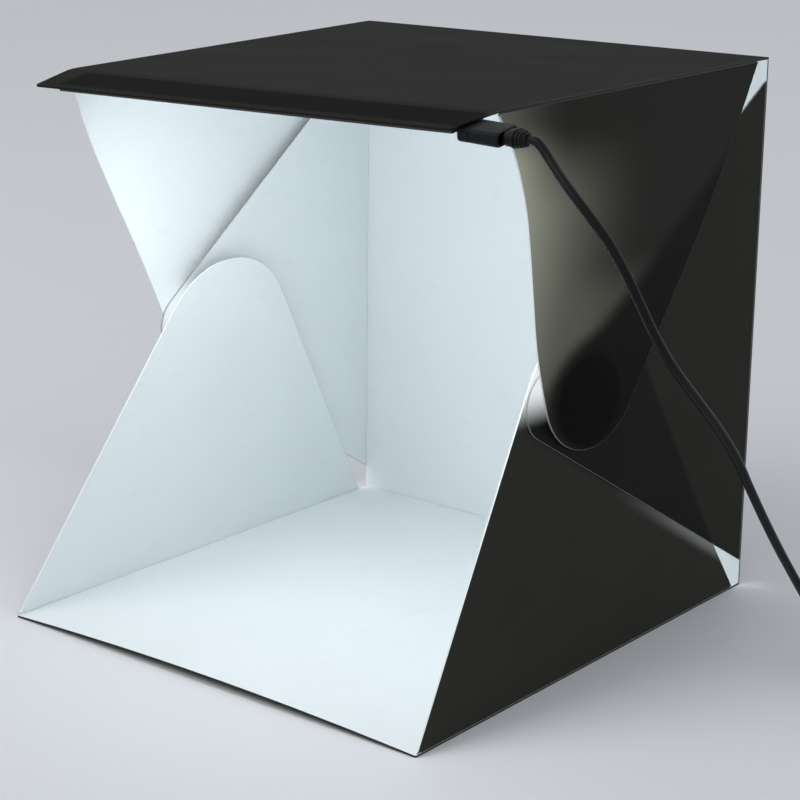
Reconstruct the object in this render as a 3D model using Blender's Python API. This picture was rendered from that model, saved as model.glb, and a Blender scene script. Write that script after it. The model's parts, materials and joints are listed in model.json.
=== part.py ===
"""A folding light tent: one creased plastic sheet that stands up as an open-fronted cube.

Metres, +Z up. The origin is the middle of the base on the floor, the mouth faces -Y, and the
lead leaves the light strip at its +X end.
"""

import math

import bmesh
import bpy
from mathutils import Matrix, Vector

MM = 0.001
SIDES = (("left", -1), ("right", 1))

# The tent
WIDTH = 220 * MM
DEPTH = 238 * MM
HEIGHT = 238.5 * MM
SHEET = 0.8 * MM
CREASE = 0.3 * MM
SEAT = 0.3 * MM
WAIST = 12.7 * MM
TOP_FALL = 3 * MM
TOP_TWIST = 4 * MM

# The base and its bowed front edge
BASE_CORNER = 1 * MM
BOW = 2.8 * MM
BOW_START_SHARE = 0.46
BASE_CUT_SHARES = (0.125, 0.25, 0.375, 0.5, 0.625, 0.75, 0.875)
BOW_CUT_SHARES = (0.08, 0.17, 0.27, 0.37, BOW_START_SHARE)
TOP_CUT_SHARES = (0.25, 0.5, 0.75)

# The top panel's front lip, which droops under the weight of the light strip
LIP_INSET = 18.5 * MM
LIP_LENGTH = 23 * MM
LIP_DROP = 3.7 * MM
LIP_TAPER = 3 * MM
LIP_CORNER = 2 * MM

# Lower flaps: insets of the crease's ends, and the place of the unrounded peak
LOWER_FRONT = 1 * MM
LOWER_REAR = 7 * MM
LOWER_PEAK_SHARES = (0.52, 0.741)
LOWER_ROUND = 42.8 * MM

# Rear flaps
REAR_FOOT = 12 * MM
REAR_HEAD = 10 * MM
REAR_PEAK_SHARES = (0.7155, 0.475)
REAR_ROUND = 15 * MM
REAR_WAIST_SHARE = 0.774
REAR_REACH_SHARE = 0.63

# Upper flaps, which bulge out below their crease and are drawn in at their tips
UPPER_FRONT = 43 * MM
UPPER_REAR = 9 * MM
UPPER_PEAK_SHARES = (0.461, 0.777)
UPPER_ROUND = 32 * MM
UPPER_CUTS = 7
UPPER_RUN_SHARE = 0.629
UPPER_LEAN_SHARES = (
    (0, 0),
    (0.07, -0.26),
    (0.16, -0.36),
    (0.26, -0.33),
    (0.37, -0.14),
    (0.48, 0.1),
    (0.63, 0.44),
    (0.75, 0.61),
    (0.86, 0.69),
    (1, 0.74),
)

# Discs that hold the three flaps of a side together
DISC_DIAMETER = 12 * MM
MAGNET_THICK = 2 * MM
KEEPER_THICK = 0.6 * MM
DISC_DEPTH_SHARE = 0.513
DISC_HEIGHT_SHARE = 0.499

# Light strip, in the lip's own frame
STRIP_WIDTH = 16 * MM
STRIP_INSET = 13 * MM
STRIP_SETBACK = 4 * MM
TAPE_THICK = 0.5 * MM
BOARD_THICK = 1.2 * MM
CHIP_COUNT = 20
CHIP_LENGTH = 3.5 * MM
CHIP_WIDTH = 2.8 * MM
CHIP_THICK = 0.8 * MM
CHIP_RIM = 0.4 * MM
CHIP_DISH = 0.2 * MM
RESISTOR_LENGTH = 2 * MM
RESISTOR_WIDTH = 1.2 * MM
RESISTOR_THICK = 0.5 * MM
RESISTOR_OFFSET = 4.4 * MM

# Power socket at the strip's right-hand end
HOUSING_LENGTH = 18 * MM
HOUSING_WIDTH = 13 * MM
HOUSING_THICK = 5.4 * MM
HOUSING_OVERHANG = 13 * MM
HOUSING_DROOP = 1 * MM
HOUSING_CORNER = 1.4 * MM
HOUSING_ROUND = 0.8 * MM
METAL = 0.3 * MM
PLUG_SHELL_WIDTH = 6.7 * MM
PLUG_SHELL_THICK = 2.7 * MM
PLUG_SHELL_LENGTH = 6.3 * MM
SHELL_CORNER = 0.8 * MM
SOCKET_SPACE = 1 * MM
TONGUE_INSET = 0.5 * MM
TONGUE_REACH_SHARE = 0.72

# Plug body: neck, boot and the mouth that the lead leaves by
NECK_WIDTH = 8.4 * MM
NECK_THICK = 5.4 * MM
NECK_LENGTH = 3.5 * MM
NECK_CORNER = 2.4 * MM
BOOT_WIDTH = 8.8 * MM
BOOT_THICK = 6.6 * MM
BOOT_LENGTH = 5.1 * MM
BOOT_CORNER = 3.1 * MM
BOOT_MOUTH = 4.8 * MM
RIB_COUNT = 3
RIB_DEPTH = 0.45 * MM

# Lead
CORD = 3.5 * MM
CORD_STEP = 8 * MM
ROUTE_STEPS = 12
COIL_OUTER = 24 * MM
COIL_PITCH = 4 * MM
COIL_RISE = 4 * MM
COIL_TURNS_SHARE = 2.75
CLIMB_TURNS_SHARE = 0.5
LOOP_STEPS = 24
COIL_X = 210.8 * MM
COIL_Y = 96 * MM
TAIL_LENGTH = 15 * MM

# The lead's own route from the plug to the coil, along the photographed curve
ROUTE = (
    (134.9 * MM, -87.8 * MM, 229.1 * MM),
    (136.7 * MM, -87.9 * MM, 228.1 * MM),
    (139.0 * MM, -88.3 * MM, 226.1 * MM),
    (142.0 * MM, -89.1 * MM, 223.5 * MM),
    (146.0 * MM, -90.8 * MM, 220.5 * MM),
    (151.0 * MM, -92.8 * MM, 217.0 * MM),
    (156.5 * MM, -94.2 * MM, 212.8 * MM),
    (162.0 * MM, -94.6 * MM, 207.9 * MM),
    (167.0 * MM, -93.6 * MM, 202.2 * MM),
    (170.0 * MM, -92.5 * MM, 198.0 * MM),
    (174.5 * MM, -90.3 * MM, 189.6 * MM),
    (178.5 * MM, -87.6 * MM, 180.2 * MM),
    (182.0 * MM, -83.6 * MM, 169.6 * MM),
    (184.6 * MM, -77.4 * MM, 159.0 * MM),
    (186.5 * MM, -69.0 * MM, 149.0 * MM),
    (187.8 * MM, -58.5 * MM, 138.6 * MM),
    (188.8 * MM, -45.5 * MM, 126.0 * MM),
    (189.5 * MM, -33.0 * MM, 112.5 * MM),
    (189.9 * MM, -22.5 * MM, 98.5 * MM),
    (190.1 * MM, -11.5 * MM, 84.5 * MM),
    (190.3 * MM, 0.5 * MM, 70.0 * MM),
    (190.3 * MM, 13.0 * MM, 56.0 * MM),
    (190.2 * MM, 25.5 * MM, 42.5 * MM),
    (189.8 * MM, 38.0 * MM, 30.0 * MM),
    (189.0 * MM, 50.0 * MM, 19.0 * MM),
    (188.0 * MM, 61.0 * MM, 10.6 * MM),
    (187.2 * MM, 71.0 * MM, 5.6 * MM),
    (186.9 * MM, 80.0 * MM, 3.5 * MM),
)

# Strap round the coil
TIE_WIDTH = 6 * MM
TIE_THICK = 0.8 * MM
TIE_SLACK = 0.8 * MM
TIE_CORNER = 2 * MM
TIE_FLOOR = 0.15 * MM
TIE_TURN_SHARE = 0.25

# Far plug
GRIP_WIDTH = 15.6 * MM
GRIP_THICK = 8 * MM
GRIP_LENGTH = 26 * MM
GRIP_CORNER = 2.4 * MM
GRIP_WAIST = 1 * MM
RELIEF_LENGTH = 8 * MM
RELIEF_MOUTH = 5 * MM
FAR_SHELL_WIDTH = 12 * MM
FAR_SHELL_THICK = 4.5 * MM
FAR_SHELL_LENGTH = 15 * MM
FAR_TONGUE_THICK = 1.8 * MM

ACROSS = Vector((1, 0, 0))
ALONG = Vector((0, 1, 0))
CORNER_STEPS = 3
ARC_STEPS = 14
DISC_STEPS = 32
SMOOTH_ANGLE = math.radians(35)

# Heights and angles that follow
LOWER_LEAN = math.atan2(WAIST, HEIGHT / 2)
REAR_LEAN = math.atan2(WAIST * REAR_WAIST_SHARE, DEPTH * REAR_REACH_SHARE)
LIP_ANGLE = math.asin(LIP_DROP / LIP_LENGTH)
LIP_BEND = LIP_INSET + LIP_LENGTH - DEPTH
TOP_TILT = math.atan2(TOP_FALL, DEPTH)
MOUTH_Y = -DEPTH / 2
BACK_Y = DEPTH / 2
SOCKET_SHELL_WIDTH = PLUG_SHELL_WIDTH + 2 * (SEAT + METAL)
SOCKET_SHELL_THICK = PLUG_SHELL_THICK + 2 * (SEAT + METAL)
SOCKET_SHELL_LENGTH = PLUG_SHELL_LENGTH + SOCKET_SPACE + METAL
TONGUE_THICK = (PLUG_SHELL_THICK - 2 * METAL - 3 * SEAT) / 2
PLUG_LENGTH = NECK_LENGTH + BOOT_LENGTH
COIL_LOW = TIE_FLOOR + TIE_THICK + SEAT + CORD / 2


def clear_scene():
    """Take away whatever the scene holds."""
    for obj in list(bpy.data.objects):
        bpy.data.objects.remove(obj, do_unlink=True)


def material(name, colour, roughness, metallic=0.0):
    """A plain Principled material."""
    made = bpy.data.materials.new(name)
    made.use_nodes = True
    shader = made.node_tree.nodes["Principled BSDF"]
    shader.inputs["Base Color"].default_value = (*colour, 1)
    shader.inputs["Roughness"].default_value = roughness
    shader.inputs["Metallic"].default_value = metallic
    return made


def add_object(name, bm, surface, location=(0, 0, 0), rotation=(0, 0, 0), parent=None):
    """Turn a bmesh into a named object with its faces pointing out."""
    bmesh.ops.recalc_face_normals(bm, faces=bm.faces)
    mesh = bpy.data.meshes.new(name)
    bm.to_mesh(mesh)
    bm.free()
    mesh.shade_smooth()
    mesh.set_sharp_from_angle(angle=SMOOTH_ANGLE)
    mesh.materials.append(surface)
    obj = bpy.data.objects.new(name, mesh)
    obj.location = location
    obj.rotation_euler = rotation
    obj.parent = parent
    bpy.context.scene.collection.objects.link(obj)
    return obj


def add_frame(name, location, rotation):
    """An empty that carries the pieces of one assembly."""
    frame = bpy.data.objects.new(name, None)
    frame.location = location
    frame.rotation_euler = rotation
    bpy.context.scene.collection.objects.link(frame)
    return frame


def rounded_corner(before, corner, after, radius, steps=ARC_STEPS):
    """Points of the arc that rounds a corner of an outline."""
    back = (before - corner).normalized()
    ahead = (after - corner).normalized()
    half = back.angle(ahead) / 2
    centre = corner + (back + ahead).normalized() * radius / math.sin(half)
    start = corner + back * radius / math.tan(half) - centre
    end = corner + ahead * radius / math.tan(half) - centre
    first = math.atan2(start.y, start.x)
    swing = math.atan2(end.y, end.x) - first
    swing = math.remainder(swing, math.tau)
    points = []
    for step in range(steps + 1):
        angle = first + swing * step / steps
        points.append(centre + Vector((math.cos(angle), math.sin(angle))) * radius)
    return points


def flap_outline(start, end, peak, radius):
    """A flap: straight crease from start to end, straight sides, round tip."""
    start, end, peak = Vector(start), Vector(end), Vector(peak)
    return [start, end] + rounded_corner(end, peak, start, radius)


def cuts_along(axis, places):
    """Straight cuts square to an axis of the flat sheet."""
    return [(axis * place, axis) for place in places]


def sheet(outline, cuts, shape):
    """A sheet of the stock thickness, divided along straight cuts and bent by a function."""
    bm = bmesh.new()
    bm.faces.new([bm.verts.new((u, v, 0)) for u, v in outline])
    for place, normal in cuts:
        geometry = bm.verts[:] + bm.edges[:] + bm.faces[:]
        bmesh.ops.bisect_plane(bm, geom=geometry, plane_co=place, plane_no=normal)
    extruded = bmesh.ops.extrude_face_region(bm, geom=bm.faces[:])["geom"]
    for item in extruded:
        if isinstance(item, bmesh.types.BMVert):
            item.co.z = SHEET
    for vert in bm.verts:
        vert.co = shape(*vert.co)
    return bm


def make_base(plastic):
    """Floor panel, its front edge bowed up between its corners."""
    half = WIDTH / 2
    corners = [
        Vector((-half, BACK_Y)),
        Vector((-half, MOUTH_Y + BASE_CORNER)),
        Vector((-half + BASE_CORNER, MOUTH_Y)),
        Vector((half - BASE_CORNER, MOUTH_Y)),
        Vector((half, MOUTH_Y + BASE_CORNER)),
        Vector((half, BACK_Y)),
    ]
    bow_start = MOUTH_Y + DEPTH * BOW_START_SHARE

    def shape(x, y, thick):
        across = max(0, 1 - (x / half) ** 2)
        along = max(0, (bow_start - y) / (bow_start - MOUTH_Y))
        return x, y, thick + BOW * across * along ** 2

    cuts = cuts_along(ACROSS, [-half + WIDTH * share for share in BASE_CUT_SHARES])
    cuts += cuts_along(ALONG, [MOUTH_Y + DEPTH * share for share in BOW_CUT_SHARES])
    add_object("base_panel", sheet(corners, cuts, shape), plastic)


def make_back(plastic):
    """Back panel, hinged on the base."""
    foot = SHEET + CREASE
    head = HEIGHT - SHEET - CREASE
    corners = ((-WIDTH / 2, foot), (WIDTH / 2, foot), (WIDTH / 2, head), (-WIDTH / 2, head))

    def shape(x, z, thick):
        return x, -thick, z

    add_object("back_panel", sheet(corners, (), shape), plastic, (0, BACK_Y, 0))


def twist(x, y):
    """How far the top panel lies below its own plane, which falls towards the front left."""
    return TOP_TWIST * (-y / DEPTH) * (1 / 2 - x / WIDTH)


def make_top(plastic, top):
    """Top panel with its drooping front lip; its frame's origin is on the rear crease."""
    half = WIDTH / 2
    narrow = half - LIP_TAPER
    tip = LIP_INSET - DEPTH
    bend_left = Vector((-half, LIP_BEND))
    bend_right = Vector((half, LIP_BEND))
    tip_left = Vector((-narrow, tip))
    tip_right = Vector((narrow, tip))
    outline = [Vector((half, 0)), Vector((-half, 0)), bend_left]
    outline += rounded_corner(bend_left, tip_left, tip_right, LIP_CORNER, CORNER_STEPS)
    outline += rounded_corner(tip_left, tip_right, bend_right, LIP_CORNER, CORNER_STEPS)
    outline.append(bend_right)

    def shape(x, y, thick):
        ahead = LIP_BEND - y
        if ahead < -SEAT:
            return x, y, -thick - twist(x, y)
        shift = thick * math.tan(LIP_ANGLE / 2)
        if ahead > SEAT:
            shift = thick * math.sin(LIP_ANGLE)
        place = y + ahead * (1 - math.cos(LIP_ANGLE)) + shift
        drop = ahead * math.sin(LIP_ANGLE) + thick * math.cos(LIP_ANGLE)
        return x, place, -drop - twist(x, y)

    cuts = cuts_along(ACROSS, [WIDTH * (share - 1 / 2) for share in TOP_CUT_SHARES])
    cuts += cuts_along(ALONG, [-DEPTH * share for share in TOP_CUT_SHARES[1:]] + [LIP_BEND])
    add_object("top_panel", sheet(outline, cuts, shape), plastic, parent=top)


def make_lower_flaps(plastic, magnet):
    """Flaps hinged on the base's sides, leaning in, each with a magnet on its outer face."""
    depth_share, height_share = LOWER_PEAK_SHARES
    start = (MOUTH_Y + LOWER_FRONT, 0)
    end = (BACK_Y - LOWER_REAR, 0)
    peak = (MOUTH_Y + DEPTH * depth_share, HEIGHT * height_share)
    outline = flap_outline(start, end, peak, LOWER_ROUND)
    for side, sign in SIDES:
        location = (sign * (WIDTH / 2 - SHEET), 0, SHEET + CREASE)
        rotation = (0, -sign * LOWER_LEAN, 0)

        def shape(y, height, thick):
            return sign * thick, y, height

        bm = sheet(outline, (), shape)
        add_object("lower_flap_" + side, bm, plastic, location, rotation)
        y = MOUTH_Y + DEPTH * DISC_DEPTH_SHARE
        z = HEIGHT * DISC_HEIGHT_SHARE / math.cos(LOWER_LEAN) - SHEET - CREASE
        x = sign * (SHEET + SEAT + MAGNET_THICK / 2)
        bm = disc(MAGNET_THICK, Vector((x, y, z)))
        add_object("lower_magnet_" + side, bm, magnet, location, rotation)


def disc(thick, centre):
    """A disc that faces along X."""
    bm = bmesh.new()
    place = Matrix.Translation(centre) @ Matrix.Rotation(math.pi / 2, 4, "Y")
    radius = DISC_DIAMETER / 2
    bmesh.ops.create_cone(bm, cap_ends=True, segments=DISC_STEPS, radius1=radius,
                          radius2=radius, depth=thick, matrix=place)
    return bm


def make_rear_flaps(plastic):
    """Flaps hinged on the back panel's upright creases, between the other two."""
    reach_share, height_share = REAR_PEAK_SHARES
    root = SHEET + CREASE
    peak = (DEPTH * reach_share, HEIGHT * height_share)
    outline = flap_outline((root, REAR_FOOT), (root, HEIGHT - REAR_HEAD), peak, REAR_ROUND)
    for side, sign in SIDES:

        def shape(reach, z, thick):
            return -sign * thick, -reach, z

        bm = sheet(outline, (), shape)
        location = (sign * WIDTH / 2, BACK_Y, 0)
        add_object("rear_flap_" + side, bm, plastic, location, (0, 0, -sign * REAR_LEAN))


def upper_lean(reach, depth):
    """How far an upper flap lies inside its crease, at a place on the flap."""
    rear_lean = reach * math.tan(REAR_LEAN)
    run = HEIGHT * UPPER_RUN_SHARE
    for (before, low), (after, high) in zip(UPPER_LEAN_SHARES, UPPER_LEAN_SHARES[1:]):
        if depth <= after * run:
            part = (depth / run - before) / (after - before)
            return rear_lean * (low + (high - low) * part)
    return rear_lean * UPPER_LEAN_SHARES[-1][1]


def upper_outline(sign):
    """Outline of an upper flap, whose crease follows the top panel's twisted edge."""
    reach_share, height_share = UPPER_PEAK_SHARES
    ends = []
    for y in (UPPER_FRONT - DEPTH, -UPPER_REAR):
        ends.append((y, SHEET + CREASE + twist(sign * WIDTH / 2, y)))
    peak = (DEPTH * (reach_share - 1), HEIGHT * height_share)
    return flap_outline(ends[0], ends[1], peak, UPPER_ROUND)


def make_upper_flaps(plastic, steel, top):
    """Outermost flaps, hinged on the top panel, each with a steel disc inside for the magnet."""
    front = MOUTH_Y + UPPER_FRONT - BACK_Y
    step = (-UPPER_REAR - front) / (UPPER_CUTS + 1)
    cuts = cuts_along(ACROSS, [front + step * (cut + 1) for cut in range(UPPER_CUTS)])
    run = HEIGHT * UPPER_RUN_SHARE
    cuts += cuts_along(ALONG, [run * place for place, _ in UPPER_LEAN_SHARES[1:-1]])
    for side, sign in SIDES:

        def shape(y, depth, thick):
            return -sign * (thick + upper_lean(-y, depth)), y, -depth

        hinge = add_frame("upper_hinge_" + side, (sign * WIDTH / 2, 0, 0), (0, 0, 0))
        hinge.parent = top
        bm = sheet(upper_outline(sign), cuts, shape)
        add_object("upper_flap_" + side, bm, plastic, parent=hinge)
        y = MOUTH_Y + DEPTH * DISC_DEPTH_SHARE - BACK_Y
        z = HEIGHT * (DISC_HEIGHT_SHARE - 1)
        x = -sign * (SHEET + SEAT + KEEPER_THICK / 2)
        bm = disc(KEEPER_THICK, Vector((x, y, z)))
        for vert in bm.verts:
            vert.co.x -= sign * upper_lean(-vert.co.y, -vert.co.z)
        add_object("upper_keeper_" + side, bm, steel, parent=hinge)


def block(bm, low, high):
    """A box between two corners."""
    size = Vector(high) - Vector(low)
    middle = (Vector(high) + Vector(low)) / 2
    place = Matrix.Translation(middle) @ Matrix.Diagonal((*size, 1))
    return bmesh.ops.create_cube(bm, size=1, matrix=place)["verts"]


def chip_mesh(surface):
    """One light chip, its lens a shallow dish in the lower face; the top's middle is its origin."""
    bm = bmesh.new()
    low = (-CHIP_LENGTH / 2, -CHIP_WIDTH / 2, -CHIP_THICK)
    block(bm, low, (CHIP_LENGTH / 2, CHIP_WIDTH / 2, 0))
    lens = min(bm.faces, key=lambda face: face.calc_center_median().z)
    bmesh.ops.inset_individual(bm, faces=[lens], thickness=CHIP_RIM, depth=-CHIP_DISH)
    bmesh.ops.recalc_face_normals(bm, faces=bm.faces)
    mesh = bpy.data.meshes.new("led_chip")
    bm.to_mesh(mesh)
    bm.free()
    mesh.materials.append(surface)
    return mesh


def strip_middle():
    """The strip's middle line, in the lip's frame, whose origin is on the bend."""
    return STRIP_SETBACK + STRIP_WIDTH / 2 - LIP_LENGTH


def make_strip(lip, tape, board, chip_plastic):
    """Tape, circuit board with its resistors, and light chips under the lip."""
    left = -WIDTH / 2 + STRIP_INSET
    right = WIDTH / 2 + HOUSING_OVERHANG - HOUSING_LENGTH - 2 * SEAT
    front = strip_middle() - STRIP_WIDTH / 2
    rear = strip_middle() + STRIP_WIDTH / 2
    level = -SEAT
    bm = bmesh.new()
    block(bm, (left, front, level - TAPE_THICK), (right, rear, level))
    add_object("led_tape", bm, tape, parent=lip)
    level -= TAPE_THICK + SEAT
    bm = bmesh.new()
    block(bm, (left, front, level - BOARD_THICK), (right, rear, level))
    carrier = add_object("led_board", bm, board, parent=lip)
    level -= BOARD_THICK
    middle = strip_middle()
    pitch = (right - left) / CHIP_COUNT
    chip = chip_mesh(chip_plastic)
    resistors = bmesh.new()
    for index in range(CHIP_COUNT):
        x = left + pitch * (index + 1 / 2)
        obj = bpy.data.objects.new("led_chip_%02d" % (index + 1), chip)
        obj.location = (x, middle, level - SEAT)
        obj.parent = lip
        bpy.context.scene.collection.objects.link(obj)
        y = middle + RESISTOR_OFFSET
        low = (x - RESISTOR_LENGTH / 2, y - RESISTOR_WIDTH / 2, level - RESISTOR_THICK)
        high = (x + RESISTOR_LENGTH / 2, y + RESISTOR_WIDTH / 2, level + BOARD_THICK / 2)
        block(resistors, low, high)
    blocks = add_object("resistor_blocks", resistors, board, parent=lip)
    blocks.hide_render = True
    blocks.display_type = "WIRE"
    solder = carrier.modifiers.new("resistors", "BOOLEAN")
    solder.operation = "UNION"
    solder.object = blocks


def ring(bm, x, width, thick, corner):
    """A loop of vertices square to X: a rectangle with round corners."""
    corner = min(corner, width / 2, thick / 2)
    loop = []
    for quarter, (sign_y, sign_z) in enumerate(((1, 1), (-1, 1), (-1, -1), (1, -1))):
        middle_y = sign_y * (width / 2 - corner)
        middle_z = sign_z * (thick / 2 - corner)
        for step in range(CORNER_STEPS + 1):
            angle = (quarter + step / CORNER_STEPS) * math.pi / 2
            y = middle_y + corner * math.cos(angle)
            z = middle_z + corner * math.sin(angle)
            loop.append(bm.verts.new((x, y, z)))
    return loop


def loft(stations, closed=False):
    """A body drawn through rings along X, with its ends capped or joined to each other."""
    bm = bmesh.new()
    rings = [ring(bm, *station) for station in stations]
    pairs = list(zip(rings, rings[1:]))
    if closed:
        pairs.append((rings[-1], rings[0]))
    else:
        bm.faces.new(rings[0])
        bm.faces.new(rings[-1])
    for first, second in pairs:
        for index, vert in enumerate(first):
            following = (index + 1) % len(first)
            bm.faces.new((vert, first[following], second[following], second[index]))
    bmesh.ops.remove_doubles(bm, verts=bm.verts, dist=SEAT / 100)
    return bm


def cup(back, mouth, width, thick, corner, wall):
    """A thin drawn shell, closed at its back and open at its mouth."""
    inner = corner - wall / 2
    floor = back + math.copysign(wall, mouth - back)
    return loft((
        (back, width, thick, corner),
        (mouth, width, thick, corner),
        (mouth, width - 2 * wall, thick - 2 * wall, inner),
        (floor, width - 2 * wall, thick - 2 * wall, inner),
    ))


def make_socket(socket, black, steel):
    """Moulded housing, steel shell and contact tongue; the mouth is at X = 0."""
    back = -SOCKET_SHELL_LENGTH - SEAT
    pocket_width = SOCKET_SHELL_WIDTH + 2 * SEAT
    pocket_thick = SOCKET_SHELL_THICK + 2 * SEAT
    small_width = HOUSING_WIDTH - 2 * HOUSING_ROUND
    small_thick = HOUSING_THICK - 2 * METAL
    bm = loft((
        (-HOUSING_LENGTH, small_width, small_thick, HOUSING_CORNER),
        (-HOUSING_LENGTH + HOUSING_ROUND, HOUSING_WIDTH, HOUSING_THICK, HOUSING_CORNER),
        (-HOUSING_ROUND, HOUSING_WIDTH, HOUSING_THICK, HOUSING_CORNER),
        (0, small_width, small_thick, HOUSING_CORNER),
        (0, pocket_width, pocket_thick, SHELL_CORNER),
        (back, pocket_width, pocket_thick, SHELL_CORNER),
    ))
    add_object("socket_housing", bm, black, parent=socket)
    bm = cup(-SOCKET_SHELL_LENGTH, 0, SOCKET_SHELL_WIDTH, SOCKET_SHELL_THICK, SHELL_CORNER, METAL)
    add_object("socket_shell", bm, steel, parent=socket)
    root = -SOCKET_SHELL_LENGTH + METAL + SEAT
    half = (PLUG_SHELL_WIDTH / 2 - METAL) - TONGUE_INSET
    bm = bmesh.new()
    reach = SOCKET_SHELL_LENGTH * TONGUE_REACH_SHARE
    block(bm, (root, -half, SEAT / 2), (root + reach, half, SEAT / 2 + TONGUE_THICK))
    add_object("socket_tongue", bm, black, parent=socket)


def make_plug(socket, black, steel):
    """The lead's moulded plug, with its shell and tongue in the socket."""
    stations = [
        (SEAT, NECK_WIDTH - NECK_CORNER / 2, NECK_THICK - NECK_CORNER / 2, NECK_CORNER),
        (SEAT + NECK_CORNER / 3, NECK_WIDTH, NECK_THICK, NECK_CORNER),
        (NECK_LENGTH, NECK_WIDTH, NECK_THICK, NECK_CORNER),
    ]
    rib = BOOT_LENGTH / (RIB_COUNT + 1)
    for index in range(RIB_COUNT):
        start = NECK_LENGTH + rib * (index + 1 / 4)
        trim = (BOOT_THICK - BOOT_MOUTH) * index / (RIB_COUNT + 1)
        width = BOOT_WIDTH - trim * 2
        thick = BOOT_THICK - trim
        groove = 2 * RIB_DEPTH
        stations += [
            (start, width, thick, BOOT_CORNER),
            (start + rib / 2, width, thick, BOOT_CORNER),
            (start + rib * 5 / 8, width - groove, thick - groove, BOOT_CORNER),
            (start + rib * 7 / 8, width - groove, thick - groove, BOOT_CORNER),
        ]
    stations += [
        (PLUG_LENGTH - rib / 2, BOOT_MOUTH + RIB_DEPTH, BOOT_MOUTH + RIB_DEPTH, BOOT_CORNER),
        (PLUG_LENGTH, BOOT_MOUTH, BOOT_MOUTH, BOOT_CORNER),
    ]
    add_object("plug_body", loft(stations), black, parent=socket)
    bm = cup(0, -PLUG_SHELL_LENGTH, PLUG_SHELL_WIDTH, PLUG_SHELL_THICK, SHELL_CORNER, METAL)
    add_object("plug_shell", bm, steel, parent=socket)
    half = PLUG_SHELL_WIDTH / 2 - METAL - TONGUE_INSET
    bm = bmesh.new()
    low = (-PLUG_SHELL_LENGTH + SEAT, -half, -SEAT / 2 - TONGUE_THICK)
    block(bm, low, (-METAL - SEAT, half, -SEAT / 2))
    add_object("plug_tongue", bm, black, parent=socket)


def smooth_path(points):
    """Closely spaced places on the smooth curve through a route's points."""
    path = []
    count = len(points)
    for index in range(count - 1):
        before = points[max(index - 1, 0)]
        start = points[index]
        end = points[index + 1]
        after = points[min(index + 2, count - 1)]
        for step in range(ROUTE_STEPS):
            part = step / ROUTE_STEPS
            path.append(
                start
                + (end - before) * part / 2
                + (before * 2 - start * 5 + end * 4 - after) * part ** 2 / 2
                + (start * 3 - before - end * 3 + after) * part ** 3 / 2
            )
    path.append(points[-1])
    return path


def path_length(path):
    """Length of a run of points."""
    return sum((after - before).length for before, after in zip(path, path[1:]))


def even_points(path, step):
    """The same path with its points evenly spaced, about one step apart."""
    total = path_length(path)
    count = max(1, round(total / step))
    spacing = total / count
    points = [path[0]]
    walked = 0
    for before, after in zip(path, path[1:]):
        length = (after - before).length
        while len(points) < count and walked + length >= spacing * len(points):
            part = (spacing * len(points) - walked) / length
            points.append(before.lerp(after, part))
        walked += length
    points.append(path[-1])
    return points


def tube(name, points, resolution, surface):
    """A lead's tube along a run of points."""
    curve = bpy.data.curves.new(name, "CURVE")
    curve.dimensions = "3D"
    curve.bevel_depth = CORD / 2
    curve.bevel_resolution = resolution
    curve.use_fill_caps = True
    spline = curve.splines.new("POLY")
    spline.points.add(len(points) - 1)
    for slot, point in zip(spline.points, points):
        slot.co = (*point, 1)
    curve.materials.append(surface)
    obj = bpy.data.objects.new(name, curve)
    bpy.context.scene.collection.objects.link(obj)
    return obj


def make_cord(exit_point, surface):
    """The free stretch, from the plug's mouth to the start of the coil."""
    ahead = Vector((1, 0, 0)) * CORD / 3
    back = Vector((0, 1, 0)) * CORD
    end = Vector((COIL_X - COIL_OUTER, COIL_Y - CORD - SEAT, COIL_LOW))
    route = [Vector(point) for point in ROUTE]
    path = smooth_path([exit_point, exit_point + ahead] + route + [end - back, end])
    bend = path[ROUTE_STEPS:-ROUTE_STEPS]
    points = [exit_point] + even_points(bend, CORD_STEP) + [end]
    tube("usb_cord", points, 2, surface)
    return path_length(points)


def coil_points():
    """Loops that spiral in, climb a layer where they turn, and spiral out again."""
    turns = 2 * COIL_TURNS_SHARE
    climb_start = COIL_TURNS_SHARE - CLIMB_TURNS_SHARE / 2
    points = [Vector((COIL_X - COIL_OUTER, COIL_Y - CORD, COIL_LOW))]
    for index in range(round(LOOP_STEPS * turns) + 1):
        turn = index / LOOP_STEPS
        radius = COIL_OUTER - COIL_PITCH * min(turn, turns - turn)
        climb = min(max((turn - climb_start) / CLIMB_TURNS_SHARE, 0), 1)
        angle = math.pi - math.tau * turn
        x = COIL_X + radius * math.cos(angle)
        y = COIL_Y + radius * math.sin(angle)
        points.append(Vector((x, y, COIL_LOW + COIL_RISE * climb)))
    return points


def tail_points(start):
    """The coil's outer end, which sinks to the height of the far plug."""
    drop = start.z - GRIP_THICK / 2
    slope = TAIL_LENGTH - 2 * CORD
    points = []
    for share in (1 / 4, 1 / 2, 3 / 4, 1):
        fall = drop * (1 - math.cos(math.pi * share)) / 2
        points.append(start + Vector((0, -CORD - slope * share, -fall)))
    points.append(points[-1] + Vector((0, -CORD, 0)))
    return points


def least_gap(points, diameter):
    """Least clear distance of a coil to its own other turns."""
    apart = LOOP_STEPS // 2
    gaps = []
    for index, point in enumerate(points):
        for other in points[index + apart:]:
            gaps.append((other - point).length - diameter)
    return min(gaps)


def make_coil(surface):
    """The wound rest of the lead; returns where its outer end lies."""
    points = coil_points()
    points += tail_points(points[-1])
    tube("cord_coil", points, 1, surface)
    gap = least_gap(points, CORD)
    print("coil: least gap to itself %.2f mm" % (gap / MM))
    return points[-1], path_length(points)


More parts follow.
